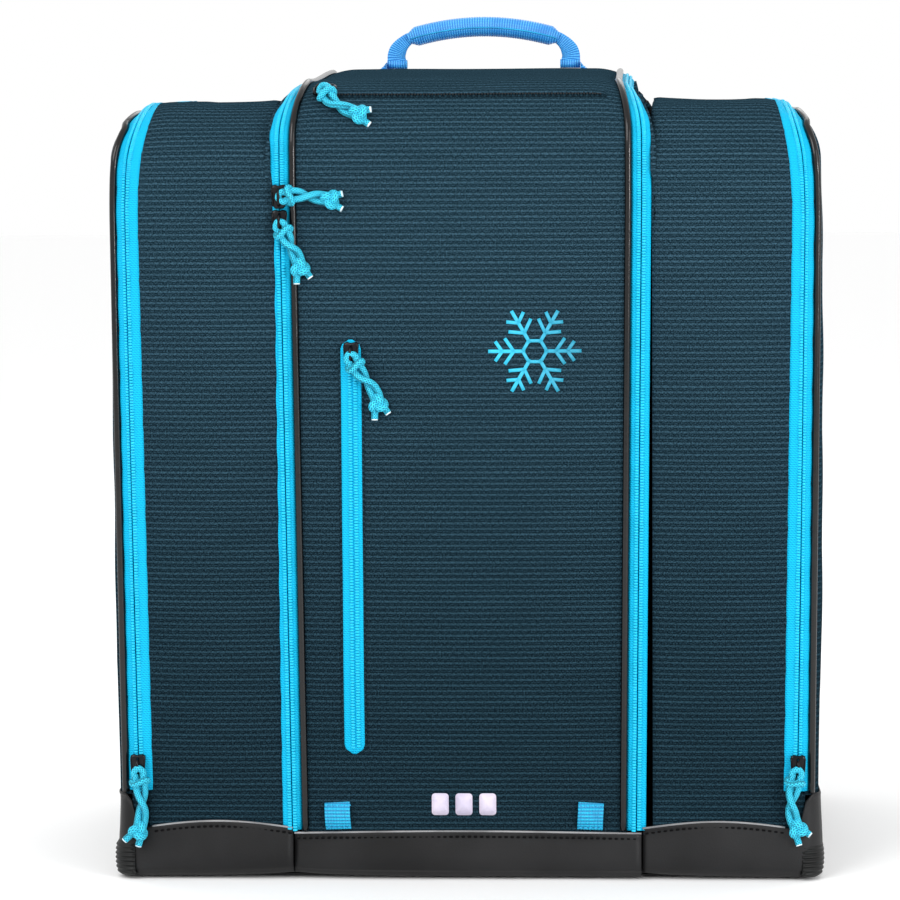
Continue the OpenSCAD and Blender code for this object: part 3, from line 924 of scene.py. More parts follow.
GOGGLE_V = MID_H + 6.1
GOGGLE = box_mm("goggle_zip")
GOGGLE_ACROSS = np.array([-1.4, -1.8, -1.6, 0.5, 3.0, 5.0, 6.5])
GOGGLE_HEIGHT = np.array([0.7, 1.2, 1.7, 1.9, 1.5, 0.7, 0.1])
x = np.linspace(GOGGLE[0][0], GOGGLE[1][0], 90)
end = (1 - np.abs(np.linspace(-1, 1, 90)) ** 14) ** 0.5
xx, vv = np.meshgrid(x, GOGGLE_V + GOGGLE_ACROSS)
rain_flap = Skin().sheet(mid_front(xx, vv, 0.1 + GOGGLE_HEIGHT[:, None] * end), (xx, vv - 2.0))
build("goggle_zip_flap", rain_flap, "shell", "front_flap", ["goggle_zip"])
xx, vv = np.meshgrid(x, GOGGLE_V + np.linspace(-4.2, 0, 4))
build("goggle_zip_tape", Skin().sheet(mid_front(xx, vv, 0.35), (vv, xx)), "shell",
      "front_flap")
slot_coil = Skin()
for start in np.arange(GOGGLE[0][0] + 3, GOGGLE[1][0] - 3, TOOTH_PITCH):
    sweep(slot_coil, mid_front(np.array([start, start]), GOGGLE_V + np.array([-2.4, -0.6]), 0.8), 0.5, 5)
build("goggle_zip_teeth", slot_coil, "plastic", "front_flap")


def ribbon(skin, a, b, width, lift):
    """A flat printed bar from a to b on the front panel."""
    a, b = np.array(a, float), np.array(b, float)
    run = unit(b - a)
    side = np.array([-run[1], run[0]]) * width / 2
    steps = max(2, int(np.linalg.norm(b - a) / 3))
    middle = a + (b - a) * np.linspace(0, 1, steps)[:, None]
    flat = np.stack([middle - side, middle, middle + side], 1)
    x, z = flat[:, :, 0], flat[:, :, 1]
    skin.sheet(mid_front(x, z, lift), (x, z), True)


EMBLEM = box_mm("emblem")
centre = middle_of("emblem")[[0, 2]]
radius = (EMBLEM[1][0] - EMBLEM[0][0]) / 2
flake = Skin()


def spoke(angle, length, start=(0.0, 0.0)):
    """A place at an angle and a distance from start."""
    return np.array(start) + length * np.array([math.cos(angle), math.sin(angle)])


def round_corners(half_x, half_z, radius, steps):
    """Outline of a rounded rectangle about the origin; half_x and half_z place its corners' centres."""
    corners = ((1, 1, 0), (-1, 1, 90), (-1, -1, 180), (1, -1, 270))
    return np.array([
        spoke(math.radians(start + step), radius, (sx * half_x, sz * half_z))
        for sx, sz, start in corners
        for step in steps
    ])


for k in range(6):
    arm = math.radians(60 * k)
    ribbon(flake, centre + spoke(arm, 5.5), centre + spoke(arm, radius), 2.1, 0.5 + 0.02 * k)
    ribbon(flake, centre + spoke(arm, 7), centre + spoke(arm + math.radians(60), 7), 1.9, 0.66)
    for part, reach in ((0.45, 0.34), (0.7, 0.26)):
        for turn in (-1, 1):
            start = centre + spoke(arm, radius * part)
            ribbon(flake, start, spoke(arm + turn * math.radians(55), radius * reach, start), 2.0, 0.6)
build("emblem_print", flake, "emblem", "front_flap", ["emblem"], thickness=0.35)

badge_z = middle_of("badge_bars")[2]
bars = Skin()
for x in (-14.0, 0.0, 14.0):
    outline = round_corners(3, 4.5, 2.0, (0, 22, 45, 68, 90)) + (x, badge_z)
    points = mid_front(outline[:, 0], outline[:, 1], 0.5)
    middle = mid_front(np.array([x]), np.array([badge_z]), 0.5)
    count = len(outline)
    bars.add(np.vstack([points, middle]), [(i, (i + 1) % count, count) for i in range(count)])
build("badge_print", bars, "badge", "front_flap", ["badge_bars"], thickness=0.4)

LOOPS = box_mm("webbing_loops")
LOOP_Z = LOOPS[0][2] - 6.0
LOOP_RISE = LOOPS[1][2] - LOOPS[0][2]
LOOP_HALF = 7.5
LOOP_X = LOOPS[1][0] - LOOP_HALF
loops, seam = Skin(), Skin()
for side in (-1, 1):
    u, t = np.meshgrid(np.linspace(-LOOP_HALF, LOOP_HALF, 73), np.linspace(0, 1, 22))
    z = LOOP_Z + LOOP_RISE * t - 0.05 * u * side
    bow = 3.0 * np.sin(np.pi * np.clip((t - 0.08) / 0.84, 0, 1)) ** 0.55 + 0.7
    ribs = 0.45 * np.abs(np.sin(np.pi * (u + LOOP_HALF) / 15 * 9))
    loops.sheet(mid_front(side * LOOP_X + u + 0.8 * t * side, z, bow + ribs), (u, z))
    for z in (LOOP_Z + 1.4, LOOP_Z + LOOP_RISE - 1.4):
        x = side * LOOP_X + np.linspace(-7, 7, 20)
        stitches(seam, *seam_run(MIDDLE, x, np.full(20, z), 2.1, mid_swell, 3.0), length=2.0, width=0.4)
build("front_loops", loops, "turquoise_webbing", "front_flap", ["webbing_loops"],
      thickness=1.3)
build("front_loop_stitches", seam, "stitch_blue", "front_flap")


# ---------------------------------------------------------------- base
BASE_SPLIT = 103.0
CENTER_TOP = 28.0
SIDE_TOP = 30.5
SIDE_BACK_TOP = 35.0


def plan_path(points, radius, step=4.0):
    """A polyline in plan with its corners rounded, evenly spaced, with outward normals."""
    points = [np.array(p, float) for p in points]
    path = [points[0]]
    for before, corner, after in zip(points, points[1:], points[2:]):
        a = corner + unit(before - corner) * radius
        b = corner + unit(after - corner) * radius
        middle = a + b - corner
        for t in np.linspace(0, math.pi / 2, 9):
            path.append(middle + (a - middle) * math.cos(t) + (b - middle) * math.sin(t))
    path = np.array([*path, points[-1]])
    length = arc_length(path)
    path = interpolate(np.linspace(0, length[-1], int(length[-1] / step) + 2), length, path)
    run = unit(np.gradient(path, axis=0))
    return path, np.column_stack([run[:, 1], -run[:, 0]])


def base_profile(top):
    """Outward offset and height of the base's section, from inside its hem to under the floor."""
    return [(0.2, top - 4), (0.3, top - 1.2), (0.7, top), (1.3, top - 0.4), (1.5, top - 1.8),
            (1.3, top - 4), (2.0, top * 0.62), (2.5, top * 0.4), (2.0, top * 0.22), (0.7, 4.6),
            (-1.6, 2.0), (-5, 0.7), (-9, 0.5)]


def section(place, normal, out, height):
    """Points of an upright section at a place on a path, out along its normal."""
    return np.column_stack([place[0] + normal[0] * out, place[1] + normal[1] * out, height])


def base_piece(skin, path, normals, top, seed, rows=34, ends=2.6):
    """One piece of the base: its section carried along a path, with soft dents, turned in at both ends."""
    rng = np.random.default_rng(seed)
    phase = rng.uniform(0, 6.28, 6)
    columns = []
    round_way = np.sin(np.linspace(0, math.pi, rows))
    for k, (p, n) in enumerate(zip(path, normals)):
        out, height = smooth_path(np.array(base_profile(top[k])), rows).T
        height = height + ends * math.exp(-k / 6) * np.clip(1 - height / 16, 0, 1)
        ripple = sum(math.sin(k * 0.16 * (i + 1) + phase[i]) / (i + 1) for i in range(4)) * 0.8
        out = out - 0.8 * math.exp(-min(k, 60) / 2.2) * round_way + ripple * round_way**4
        columns.append(section(p, n, out, height))
    points = np.array([columns[0], *columns, columns[-1]])
    for end in (0, -1):
        points[end, :, :2] -= normals[end] * 4
    return skin.sheet(points)


def side_outline(side):
    return [(side * BASE_SPLIT, FRONT_Y), (side * BOOT_HALF, FRONT_Y), (side * BOOT_HALF, BACK_Y),
            (side * BASE_SPLIT, BACK_Y)]


def side_top(path):
    """Top edge of a side base piece: a low hump in front, higher round the outside."""
    x, y = np.abs(path[:, 0]), path[:, 1]
    hump = SIDE_TOP + 4.0 * np.sin(np.pi * np.clip((x - BASE_SPLIT) / (192 - BASE_SPLIT), 0, 1))
    outside = np.where(y > 0, ramp(x, 180, 186), ramp(x, 194, 200))
    low = np.where(y > 0, SIDE_BACK_TOP, hump)
    return low * (1 - outside) + (SKIRT_H + 1.2) * outside


base_tops = {}
for word, side in SIDES.items():
    path, normals = plan_path(side_outline(side), 12.0)
    normals = normals * side
    top = side_top(path)
    base_tops[word] = (path, normals, top)
    build(f"base_cloth_{word}", base_piece(Skin(), path, normals, top, 4 + side), "coated",
          "shell", [f"base_{word}"])
centre_skin = Skin()
for y, out in ((FRONT_Y, 1), (BACK_Y, -1)):
    path, normals = plan_path([(-out * (BASE_SPLIT - 0.8), y), (out * (BASE_SPLIT - 0.8), y)], 1.0)
    top = CENTER_TOP + 0.6 * np.cos(path[:, 0] / 40)
    if out > 0:
        base_tops["center"] = (path, normals, top)
    base_piece(centre_skin, path, normals, top, 21)
build("base_cloth_center", centre_skin, "coated", "shell", ["base_center"])

edge, thread = Skin(), Skin()
for word in ("left", "center", "right"):
    path, normals, top = base_tops[word]
    keep = (path[:, 1] < FRONT_Y + 1) & (np.abs(path[:, 0]) < 190)
    path, normals, top = path[keep], normals[keep], top[keep]
    # painted highlight: this light grey tube is the binding on the base's top edge, coloured to stand for the
    # highlight along it
    sweep(edge, np.column_stack([path + normals * 0.9, top + 0.25]), 0.6, 8)
    x = path[:, 0].min() + np.arange(2.5, np.ptp(path[:, 0]) - 1, 3.6)
    order = np.argsort(path[:, 0])
    z = np.interp(x, path[order, 0], top[order]) - 2.9
    points = np.column_stack([x, np.full(len(x), FRONT_Y - 1.85), z])
    stitches(thread, points, (0, -1, 0), length=2.5, width=0.6)
build("base_edge_binding_painted_highlight", edge, "binding", "shell", ["base_binding"])
build("base_stitches", thread, "stitch", "shell")

outline = plan_path([(0, FRONT_Y), (BOOT_HALF, FRONT_Y), (BOOT_HALF, BACK_Y), (-BOOT_HALF, BACK_Y),
                     (-BOOT_HALF, FRONT_Y), (0, FRONT_Y)], 12.0, 8.0)[0][:-1]
middle = np.array([0, (FRONT_Y + BACK_Y) / 2])
rings = []
for t in np.linspace(1, 0.02, 22):
    flat = middle + (outline - middle) * t * np.array([1 - 7 / BOOT_HALF, 1 - 14 / DEPTH])
    rings.append(np.column_stack([flat, np.full(len(flat), 0.9 * ramp(t, 0.8, 1.0))]))
rings = np.array(rings)
*walls, outer_cap, inner_cap = ring_faces(len(rings), len(outline))
floor_skin = Skin().add(rings, flipped([*walls, inner_cap]), rings[:, :, :2])
build("bottom_cloth", floor_skin, "coated", "shell", ["bottom_panel"], thickness=1.2)
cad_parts["bottom_board"].data.materials.clear()
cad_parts["bottom_board"].data.materials.append(MATERIALS["board"])

GUARD_Z = 12.0
for word, side in SIDES.items():
    path, normals = plan_path([(side * 199.5, FRONT_Y), (side * BOOT_HALF, FRONT_Y),
                               (side * BOOT_HALF, FRONT_Y + 42)], 11.0, 1.6)
    z = np.linspace(0, 1, 58)
    dome = np.sqrt(np.clip(1 - (2 * z - 1) ** 2, 0, 1))
    ends = np.sqrt(np.clip(1 - np.abs(np.linspace(-1, 1, len(path))) ** 6, 0.0, 1))
    points = []
    for k, (p, n, end) in enumerate(zip(path, normals * side, ends)):
        height = GUARD_Z + (0.55 + 0.45 * end) * (21.5 * z - 11)
        rib = 0.5 * np.sin(height * 2 * math.pi / 2.7 + 0.06 * k) * dome
        out = 0.9 + 2.3 * dome**0.7 * end + rib - 3 * (1 - dome) ** 3
        points.append(section(p, n, out, height))
    guard = Skin().sheet(np.array(points), None, side > 0)
    build(f"guard_{word}", guard, "rubber", "shell", [f"corner_guard_{word}"], thickness=1.6)


# ---------------------------------------------------------------- inside walls
for word, side in SIDES.items():
    x = side * (POD_IN - 4)
    low, high, front_y, back_y = 6.0, SIDE_H - 12, FRONT_Y + 7, BACK_Y - 6
    s, t = np.meshgrid(np.linspace(0, 1, 26), np.linspace(0, 1, 40))
    y = front_y + (back_y - front_y) * s
    top = high - 40 * (1 - np.sqrt(1 - np.clip((front_y + 44 - y) / 44, 0, 1) ** 2))
    z = low + (top - low) * t
    belly = 1.5 * np.sin(math.pi * s) * np.sin(math.pi * t)
    wall = Skin().sheet(np.stack([x + side * belly, y, z], 2), (y, z))
    build(f"divider_cloth_{word}", wall, "lining", "shell", [f"divider_{word}"],
          thickness=1.6)
    v = np.linspace(SIDE_H - 40, SIDE_H + DEPTH + 9, 70)
    reach = np.array([-14.0, -8, -3, 2, 7, 12])
    line = BOOT.warp(BOOT.on_box(np.full(len(v), POD_IN + 14.0), v))
    line[:, 1] += 8.0 * (1 - ramp(v, SIDE_H - 40, SIDE_H + 20))
    line[:, 1] -= 6.0 * ramp(v, SIDE_H + DEPTH - 30, SIDE_H + DEPTH)
    rows = np.repeat(line[:, None, :], len(reach), axis=1)
    rows[:, :, 0] = side * (POD_IN + reach)
    rows[:, :, 2] -= 11 + 2.0 * np.cos(reach / 9)
    gutter = Skin().sheet(rows, None, side < 0)
    build(f"gusset_cloth_{word}", gutter, "shell", "shell", thickness=1.4)


# ---------------------------------------------------------------- sliders
SLIDER_OUTLINE = [(-2.4, -7), (2.4, -7), (3.5, -5.6), (4.0, 0), (4.5, 4.6), (4.2, 6.2), (2.6, 7), (0, 6.3),
                  (-2.6, 7), (-4.2, 6.2), (-4.5, 4.6), (-4.0, 0), (-3.5, -5.6)]


def slider(name, place, body, node, lift=2.4):
    """A zip slider: a tapered body with a rail on each side and the bail that holds the pull."""
    skin = Skin()
    outline = np.array(SLIDER_OUTLINE, float)
    count = len(outline)
    rings = [(1.0, 0.0), (1.0, 1.5), (0.94, 2.0), (0.82, 2.3)]
    points = np.vstack([np.column_stack([outline * s, np.full(count, lift + h)]) for s, h in rings])
    skin.add(placed(points, place), ring_faces(len(rings), count))
    bail = smooth_path([(0, -5.0, lift + 2), (0, -4.2, lift + 4.3), (0, -1, lift + 5.4),
                        (0, 2.6, lift + 4.9), (0, 4.4, lift + 2)], 20)
    sweep(skin, placed(bail, place), 1.0, 10)
    for hand in (-1, 1):
        rail = smooth_path([(hand * 3.3, -5.5, lift + 2.2), (hand * 3.8, 0, lift + 2.3),
                            (hand * 4.1, 5, lift + 2.2)], 10)
        sweep(skin, placed(rail, place), 0.5, 8)
    build(name, skin, "slider", body, [node])


for word in ("upper", "lower"):
    z = middle_of(f"center_slider_{word}")[2]
    slider(f"slider_{word}", frame_at(MIDDLE, -float(mid_zip(z)), z), f"{word}_slider",
           f"center_slider_{word}")
for word, side in SIDES.items():
    z = middle_of(f"outer_slider_{word}")[2]
    slider(f"slider_{word}", frame_at(BOOT, side * float(side_zip(z)), z), f"{word}_slider",
           f"outer_slider_{word}")
place = frame_at(MIDDLE, POCKET_LINE_X, middle_of("pocket_slider")[2], mid_swell)
slider("slider_pocket", place, "pocket_zip_slider", "pocket_slider")
GOGGLE_X = -80.0
origin, across, along, out = frame_at(MIDDLE, GOGGLE_X, GOGGLE_V, mid_swell)
slider("slider_goggle", (origin, -along, across, out), "goggle_zip_slider", "goggle_slider", lift=1.4)


# ---------------------------------------------------------------- handle
_, HANDLE_Y, GRIP_Z = middle_of("haul_grip")
GRIP_HALF = 49
PIN_Z = 484
x = np.linspace(-GRIP_HALF, GRIP_HALF, 420)
arch = np.column_stack([x, np.full(len(x), HANDLE_Y), GRIP_Z + 1.2 - 7.5 * np.abs(x / GRIP_HALF) ** 2.0])
taper = 1 - 0.42 * ramp(np.abs(x), 43, GRIP_HALF)
ribs = 0.22 * np.abs(np.sin(np.pi * x / 1.6))
build("handle_grip", sweep(Skin(), arch, 6.2 * taper + ribs, 28), "blue_webbing",
      "haul_handle", ["haul_grip"])
path = arch - np.column_stack([np.zeros(len(x)), 6.25 * taper, np.full(len(x), 0.8)])
build("handle_fold", sweep(Skin(), path[8:-8], 0.45, 8), "stitch_blue", "haul_handle")
legs, pins = Skin(), Skin()
for side in (-1, 1):
    path = smooth_path([(41, GRIP_Z - 3), (49, GRIP_Z - 6.5), (54.5, GRIP_Z - 11.5),
                        (57, GRIP_Z - 17.5), (56, 482)], 60)
    run = unit(np.gradient(path, axis=0))
    across = np.column_stack([-run[:, 1], run[:, 0]])
    width = np.interp(np.linspace(0, 1, 60), [0, 0.35, 0.6, 1], [3.0, 4.2, 5.6, 6.2])[:, None]
    length = np.linspace(0, 36, 60)[:, None]
    u = np.linspace(-1, 1, 13)
    flat = path[:, None, :] + across[:, None, :] * (width * u)[:, :, None]
    thick = (1.3 + 0.25 * np.abs(np.sin(np.pi * length / 1.7))) * np.sqrt(1 - 0.9 * u**6)
    for face in (-1, 1):
        points = np.stack([side * flat[:, :, 0], HANDLE_Y + face * thick, flat[:, :, 1]], 2)
        legs.sheet(points, (width * u, length), face * side < 0)
    sweep(pins, [(side * 50, HANDLE_Y, PIN_Z), (side * 63, HANDLE_Y, PIN_Z)], 2.9, 16)
build("handle_legs", legs, "blue_webbing", "haul_handle", ["haul_webbing"])
build("handle_fold_ends", pins, "blue_webbing", "haul_handle")


def tab_rise(u):
    """Height of an anchor tab above the cloth: it climbs to the fold that holds the handle's end."""
    return 1.0 + 9.0 * (1 - u) ** 3


def top_height(x, y):
    """Height of the middle compartment's top at a place."""
    return MIDDLE.surface(x, MID_H + y - FRONT_Y)[..., 2]


TAB_X = (63.3, 82.5)
TAB_Y = (HANDLE_Y - 8.5, HANDLE_Y + 7)
TAB_LENGTH = TAB_X[1] - TAB_X[0]
y0, y1 = TAB_Y[0] + 2.5, TAB_Y[1] - 2.5
TAB_SEAM = [(66, y0), (80, y0), (80, y1), (66, y1), (66, y0), (80, y1)]
tabs, boxes = Skin(), Skin()
for side in (-1, 1):
    u, w = np.meshgrid(np.concatenate([[0], np.linspace(0, 1, 16)]), np.linspace(0, 1, 30))
    bow = tab_rise(u) - 0.8 * (2 * w - 1) ** 8 + 0.2 * np.abs(np.sin(w * 30))
    bow[:, 0] = 0.0
    x, y = side * (TAB_X[0] + TAB_LENGTH * u), TAB_Y[0] + (TAB_Y[1] - TAB_Y[0]) * w
    tabs.sheet(np.stack([x, y, top_height(x, y) + bow], 2), None, side < 0)
    for a, b in zip(TAB_SEAM, TAB_SEAM[1:]):
        count = max(2, int(math.dist(a, b) / 2.6))
        part = (np.arange(count) + 0.5)[:, None] / count
        x, y = (np.array(a) + (np.array(b) - np.array(a)) * part).T
        height = top_height(side * x, y) + tab_rise((x - TAB_X[0]) / TAB_LENGTH) + 0.25
        stitches(boxes, np.column_stack([side * x, y, height]), (0, 0, 1), length=1.8, width=0.4)
build("handle_tabs", tabs, "blue_webbing", "shell", ["handle_anchors"], thickness=1.4)
build("handle_tab_stitches", boxes, "stitch_blue", "shell")


# ---------------------------------------------------------------- back panel, pads and straps
uu, tt = np.meshgrid(np.linspace(-1, 1, 116), np.linspace(0, 1, 110))
zz = 26 + (SIDE_H - BACK_R - 27) * tt
xx = uu * (side_zip(zz) - TAPE_W + 3)
zz = zz + 13.5 * tt * (1 - ramp(np.abs(xx), 106, 116))
calm = np.sin(np.pi * tt) ** 0.3 * (1 - np.abs(uu) ** 8)
yy = BACK_Y - 0.6 + calm * (1.0 + 0.8 * wrinkles(xx.ravel(), zz.ravel(), 14).reshape(xx.shape))
back_skin = Skin().sheet(np.stack([xx, yy, zz], 2), (xx, zz), True)
build("back_cloth", back_skin, "back_weave", "shell", ["back_panel"], thickness=2.2)

quilt = Skin()
for side in (-1, 1):
    for x, low, high in ((106.0, 62, 440), (9.0, 150, 424)):
        z = np.arange(low, high, 4.0)
        x = np.full(len(z), side * x)
        out = np.interp(z, [26, 90, 400, 450], [0, 1, 1, 0.4]) * (1.0 + 0.8 * wrinkles(x, z, 14))
        spots = np.column_stack([x, BACK_Y - 0.35 + out, z])
        stitches(quilt, spots, (0, 1, 0), length=2.6, width=0.4)
build("back_stitches", quilt, "stitch", "shell")


def block(width, height, thick, corner, cells=5.0):
    """A pad's plan with rounded corners: points across and up, and how far each stands out."""
    columns, rows = int(width / cells) + 1, int(height / cells) + 1
    u, w = np.meshgrid(np.linspace(-1, 1, columns), np.linspace(-1, 1, rows))
    a, b = u * width / 2, w * height / 2
    over_a = np.clip(np.abs(a) - (width / 2 - corner), 0, None)
    over_b = np.clip(np.abs(b) - (height / 2 - corner), 0, None)
    a = np.sign(a) * (np.abs(a) - over_a + over_a * np.sqrt(1 - over_b**2 / (2 * corner**2)))
    b = np.sign(b) * (np.abs(b) - over_b + over_b * np.sqrt(1 - over_a**2 / (2 * corner**2)))
    rim = np.minimum(1, 4.0 * np.minimum(1 - np.abs(u), 1 - np.abs(w)) + 0.22) ** 0.5
    return a, b, thick * rim


def close_pad(front_points, back_points):
    """A pad closed round its rim, from the grids of its front and its back."""
    rows, columns = front_points.shape[:2]
    skin = Skin().sheet(front_points).sheet(back_points, None, True)
    rim = [(0, c) for c in range(columns)] + [(r, columns - 1) for r in range(1, rows)]
    rim += [(rows - 1, c) for c in range(columns - 2, -1, -1)] + [(r, 0) for r in range(rows - 2, 0, -1)]
    rim = [r * columns + c for r, c in rim]
    behind = rows * columns
    for a, b in zip(rim, rim[1:] + rim[:1]):
        skin.faces.append([a, behind + a, behind + b, b])
    return skin


PAD_VOXEL = 3.0
PAD_PRESSURE = 4.0
PAD_STIFFNESS = 30
PAD_FRAMES = 20


def inflate(piece, limit):
    """Swells a pad with cloth under pressure, only in depth, because a binding holds its outline."""
    bpy.context.view_layer.objects.active = piece
    for other in bpy.context.selected_objects:
        other.select_set(False)
    piece.select_set(True)
    piece.modifiers.new("remesh", "REMESH").mode = "VOXEL"
    piece.modifiers["remesh"].voxel_size = PAD_VOXEL * MM
    bpy.ops.object.modifier_apply(modifier="remesh")
    start = np.empty(len(piece.data.vertices) * 3)
    piece.data.vertices.foreach_get("co", start)
    cloth = piece.modifiers.new("cloth", "CLOTH")
    cloth.settings.use_pressure = True
    cloth.settings.uniform_pressure_force = PAD_PRESSURE
    cloth.settings.effector_weights.gravity = 0.0
    cloth.settings.tension_stiffness = cloth.settings.compression_stiffness = PAD_STIFFNESS
    cloth.point_cache.frame_start, cloth.point_cache.frame_end = 1, PAD_FRAMES
    for step in range(1, PAD_FRAMES + 1):
        bpy.context.scene.frame_set(step)
    bpy.ops.object.modifier_apply(modifier="cloth")
    bpy.context.scene.frame_set(1)
    end = np.empty_like(start)
    piece.data.vertices.foreach_get("co", end)
    move = (end - start).reshape(-1, 3) * (0, 1, 0)
    move = np.clip(move, -limit * MM, limit * MM)
    piece.data.vertices.foreach_set("co", (start.reshape(-1, 3) + move).ravel())


PAD_CORNER = 18


def back_pad(name, node):
    """A pad on the back panel, with the binding round it."""
    low, high = box_mm(node)
    centre_x, _, centre_z = middle_of(node)
    width, _, height = high - low
    a, b, rise = block(width, height, 4.2, PAD_CORNER)
    top = np.stack([centre_x - a, BACK_Y + 0.8 + rise, centre_z + b], 2)
    under = np.stack([centre_x - a, np.full_like(a, BACK_Y - 1.2), centre_z + b], 2)
    pad = build(name, close_pad(top, under), "air_mesh", "shell", [node])
    inflate(pad, 2.2)
    outline = round_corners(width / 2 - PAD_CORNER, height / 2 - PAD_CORNER, PAD_CORNER,
                            np.linspace(0, 90, 10))
    x, z = (outline + (centre_x, centre_z)).T
    loop = np.column_stack([x, np.full(len(x), BACK_Y + 1.2), z])
    loop = np.vstack([loop, loop[:1]])
    length = arc_length(loop)
    rim = sweep(Skin(), interpolate(np.linspace(0, length[-1], 140)[:-1], length, loop), 1.5, 8, closed=True)
    build(name + "_binding", rim, "black_webbing", "shell")


back_pad("pad_back_left", "back_pad_left")
back_pad("pad_back_right", "back_pad_right")
back_pad("pad_lumbar", "lumbar_pad")

STRAP_TOP = np.array([45.0, 440.0])
STRAP_LOW = np.array([140.0, 60.0])
STRAP_BOW = 24.0
STRAP_OFF = 8.0


class Strap:
    """The line a shoulder strap hangs on; f runs from 0 at the top to 1 at the foot."""

    def __init__(self, side):
        self.side = side
        run = STRAP_LOW - STRAP_TOP
        self.span = np.linalg.norm(run)
        self.across = np.array([run[1], -run[0]]) / self.span * -1

    def at(self, f, u=0.0, lift=0.0):
        f, u, lift = np.broadcast_arrays(*(np.asarray(q, float) for q in (f, u, lift)))
        flat = STRAP_TOP + (STRAP_LOW - STRAP_TOP) * f[..., None] + self.across * u[..., None]
        inside = np.clip(f, 0, 1)
        drop = (STRAP_OFF - 3.2) * (1 - ramp(f, -0.01, 0.06) * (1 - ramp(f, 0.94, 1.01)))
        y = BACK_Y + STRAP_OFF - drop + STRAP_BOW * (1 - (2 * inside - 1) ** 2) + lift
        return np.stack([self.side * flat[..., 0], y, flat[..., 1]], -1)


def strap_strip(skin, strap, f0, f1, half, thick, rows=40, lift=0.0):
    """A flat length of webbing on a strap, from f0 to f1 along it."""
    f, u = np.meshgrid(np.linspace(f0, f1, rows), np.linspace(-half, half, 13), indexing="ij")
    edge = np.sqrt(1 - 0.85 * (u / half) ** 8)
    for face in (-1, 1):
        points = strap.at(f, u, lift + face * thick / 2 * edge)
        skin.sheet(points, (u, f * strap.span), face * strap.side < 0)


PAD_FROM = 0.14
PAD_TO = 0.72
PAD_HALF = 28.2
WEB_HALF = 12.5
STRAP_PARTS = (("top", -0.012, 0.175, -0.01, 0.12), ("foot", 0.755, 1.035, 1.02, 0.88))


def pad_plan(strap, w, widest):
    """A shoulder pad at w, from -1 to 1 along it: nearness to its end, half width, f, and bend aside."""
    end = np.clip((1 - np.abs(w)) * (PAD_TO - PAD_FROM) * strap.span / 2 / 22, 0, 1)
    half = widest * (1 - 0.38 * (1 - end) ** 2) * (1 - 0.1 * ramp(w, -0.2, 1))
    f = PAD_FROM + 0.008 + (PAD_TO - PAD_FROM - 0.016) * (w + 1) / 2
    return end, half, f, 4.0 * np.sin(np.pi * (w + 1) / 2) - 2


for word, side in SIDES.items():
    strap = Strap(side)
    w, u = np.meshgrid(np.linspace(-1, 1, 52), np.linspace(-1, 1, 15), indexing="ij")
    end, half, f, bend = pad_plan(strap, w, PAD_HALF)
    rim = (1 - 0.84 * np.abs(u) ** 5) ** 0.5 * (0.5 + 0.5 * np.minimum(1, end * 2.2))
    upper = strap.at(f, u * half + bend, 3.6 * rim)[:, ::side]
    lower = strap.at(f, u * half + bend, -3.4 * rim)[:, ::side]
    pad = build(f"pad_shoulder_{word}", close_pad(upper, lower), "air_mesh",
                f"{word}_strap", [f"shoulder_pad_{word}"])
    inflate(pad, 2.0)
    _, half, f, bend = pad_plan(strap, np.linspace(-0.985, 0.985, 70), PAD_HALF - 0.6)
    loop = np.vstack([strap.at(f, half + bend), strap.at(f, bend - half)[::-1]])
    build(f"pad_shoulder_{word}_binding", sweep(Skin(), loop, 1.4, 8, closed=True), "black_webbing",
          f"{word}_strap")
    web = Skin()
    strap_strip(web, strap, 0.66, 0.735, WEB_HALF, 2.0, 12, lift=5.0)
    strap_strip(web, strap, 0.745, 0.86, 10.0, 1.8, 20, lift=3.2)
    build(f"strap_tail_{word}", web, "black_webbing", f"{word}_strap",
          [f"strap_webbing_{word}"])
    for part, f0, f1, bend_from, bend_to in STRAP_PARTS:
        web = Skin()
        strap_strip(web, strap, f0, f1, WEB_HALF, 2.2, 44)
        piece = build(f"strap_web_{part}_{word}", web, "black_webbing", None)
        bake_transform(piece)
    buckle = Skin()
    for f, radius in ((0.722, 2.1), (0.752, 1.7), (0.783, 2.1)):
        sweep(buckle, strap.at(np.full(9, f), np.linspace(-15.5, 15.5, 9), 2.4), radius, 12)
    for u in (-15.2, 15.2):
        sweep(buckle, strap.at(np.linspace(0.716, 0.789, 14), np.full(14, u), 2.4), 2.3, 12)
    build(f"buckle_{word}", buckle, "plastic", f"{word}_strap", [f"ladder_lock_{word}"])

yoke, sewn = Skin(), Skin()
YOKE_Z = 441.0
YOKE_HALF = 7.0
x, w = np.meshgrid(np.linspace(-95, 95, 60), np.linspace(-1, 1, 12))
z = YOKE_Z + YOKE_HALF * w
yoke.sheet(np.stack([x, BACK_Y + 0.8 + 1.6 * np.sqrt(1 - 0.9 * w**8), z], 2), (z, x), True)
for z in (YOKE_Z - 4.8, YOKE_Z + 4.8):
    spots = np.column_stack([np.arange(-92, 93, 4.0), np.full(47, BACK_Y + 2.45), np.full(47, z)])
    stitches(sewn, spots, (0, 1, 0), length=2.6, width=0.4)
for side in (-1, 1):
    u, w = np.meshgrid(np.linspace(0, 1, 20), np.linspace(0, 1, 14))
    x = side * (122 + 40 * u)
    z = 48 + (w - 0.5) * 12 * (1 - 0.25 * np.abs(2 * u - 1) ** 3)
    y = BACK_Y + 0.8 + 1.6 * (1 - 0.8 * (2 * w - 1) ** 6)
    yoke.sheet(np.stack([x, y, z], 2), (12 * w, x), side > 0)
build("strap_yoke", yoke, "black_webbing", "shell", ["strap_anchors"], thickness=1.8)
build("strap_yoke_stitches", sewn, "stitch", "shell")


# ---------------------------------------------------------------- cord pulls
CORD_D = 4.0
STRAND_GAP = [2.3, 2.5, 2.2, 2.1, 2.3, 4.4]
KNOT_AT = 3.95 / 5
KNOT_TILT = 0.5
HITCH_AT = 6
PULL_POINTS = 60


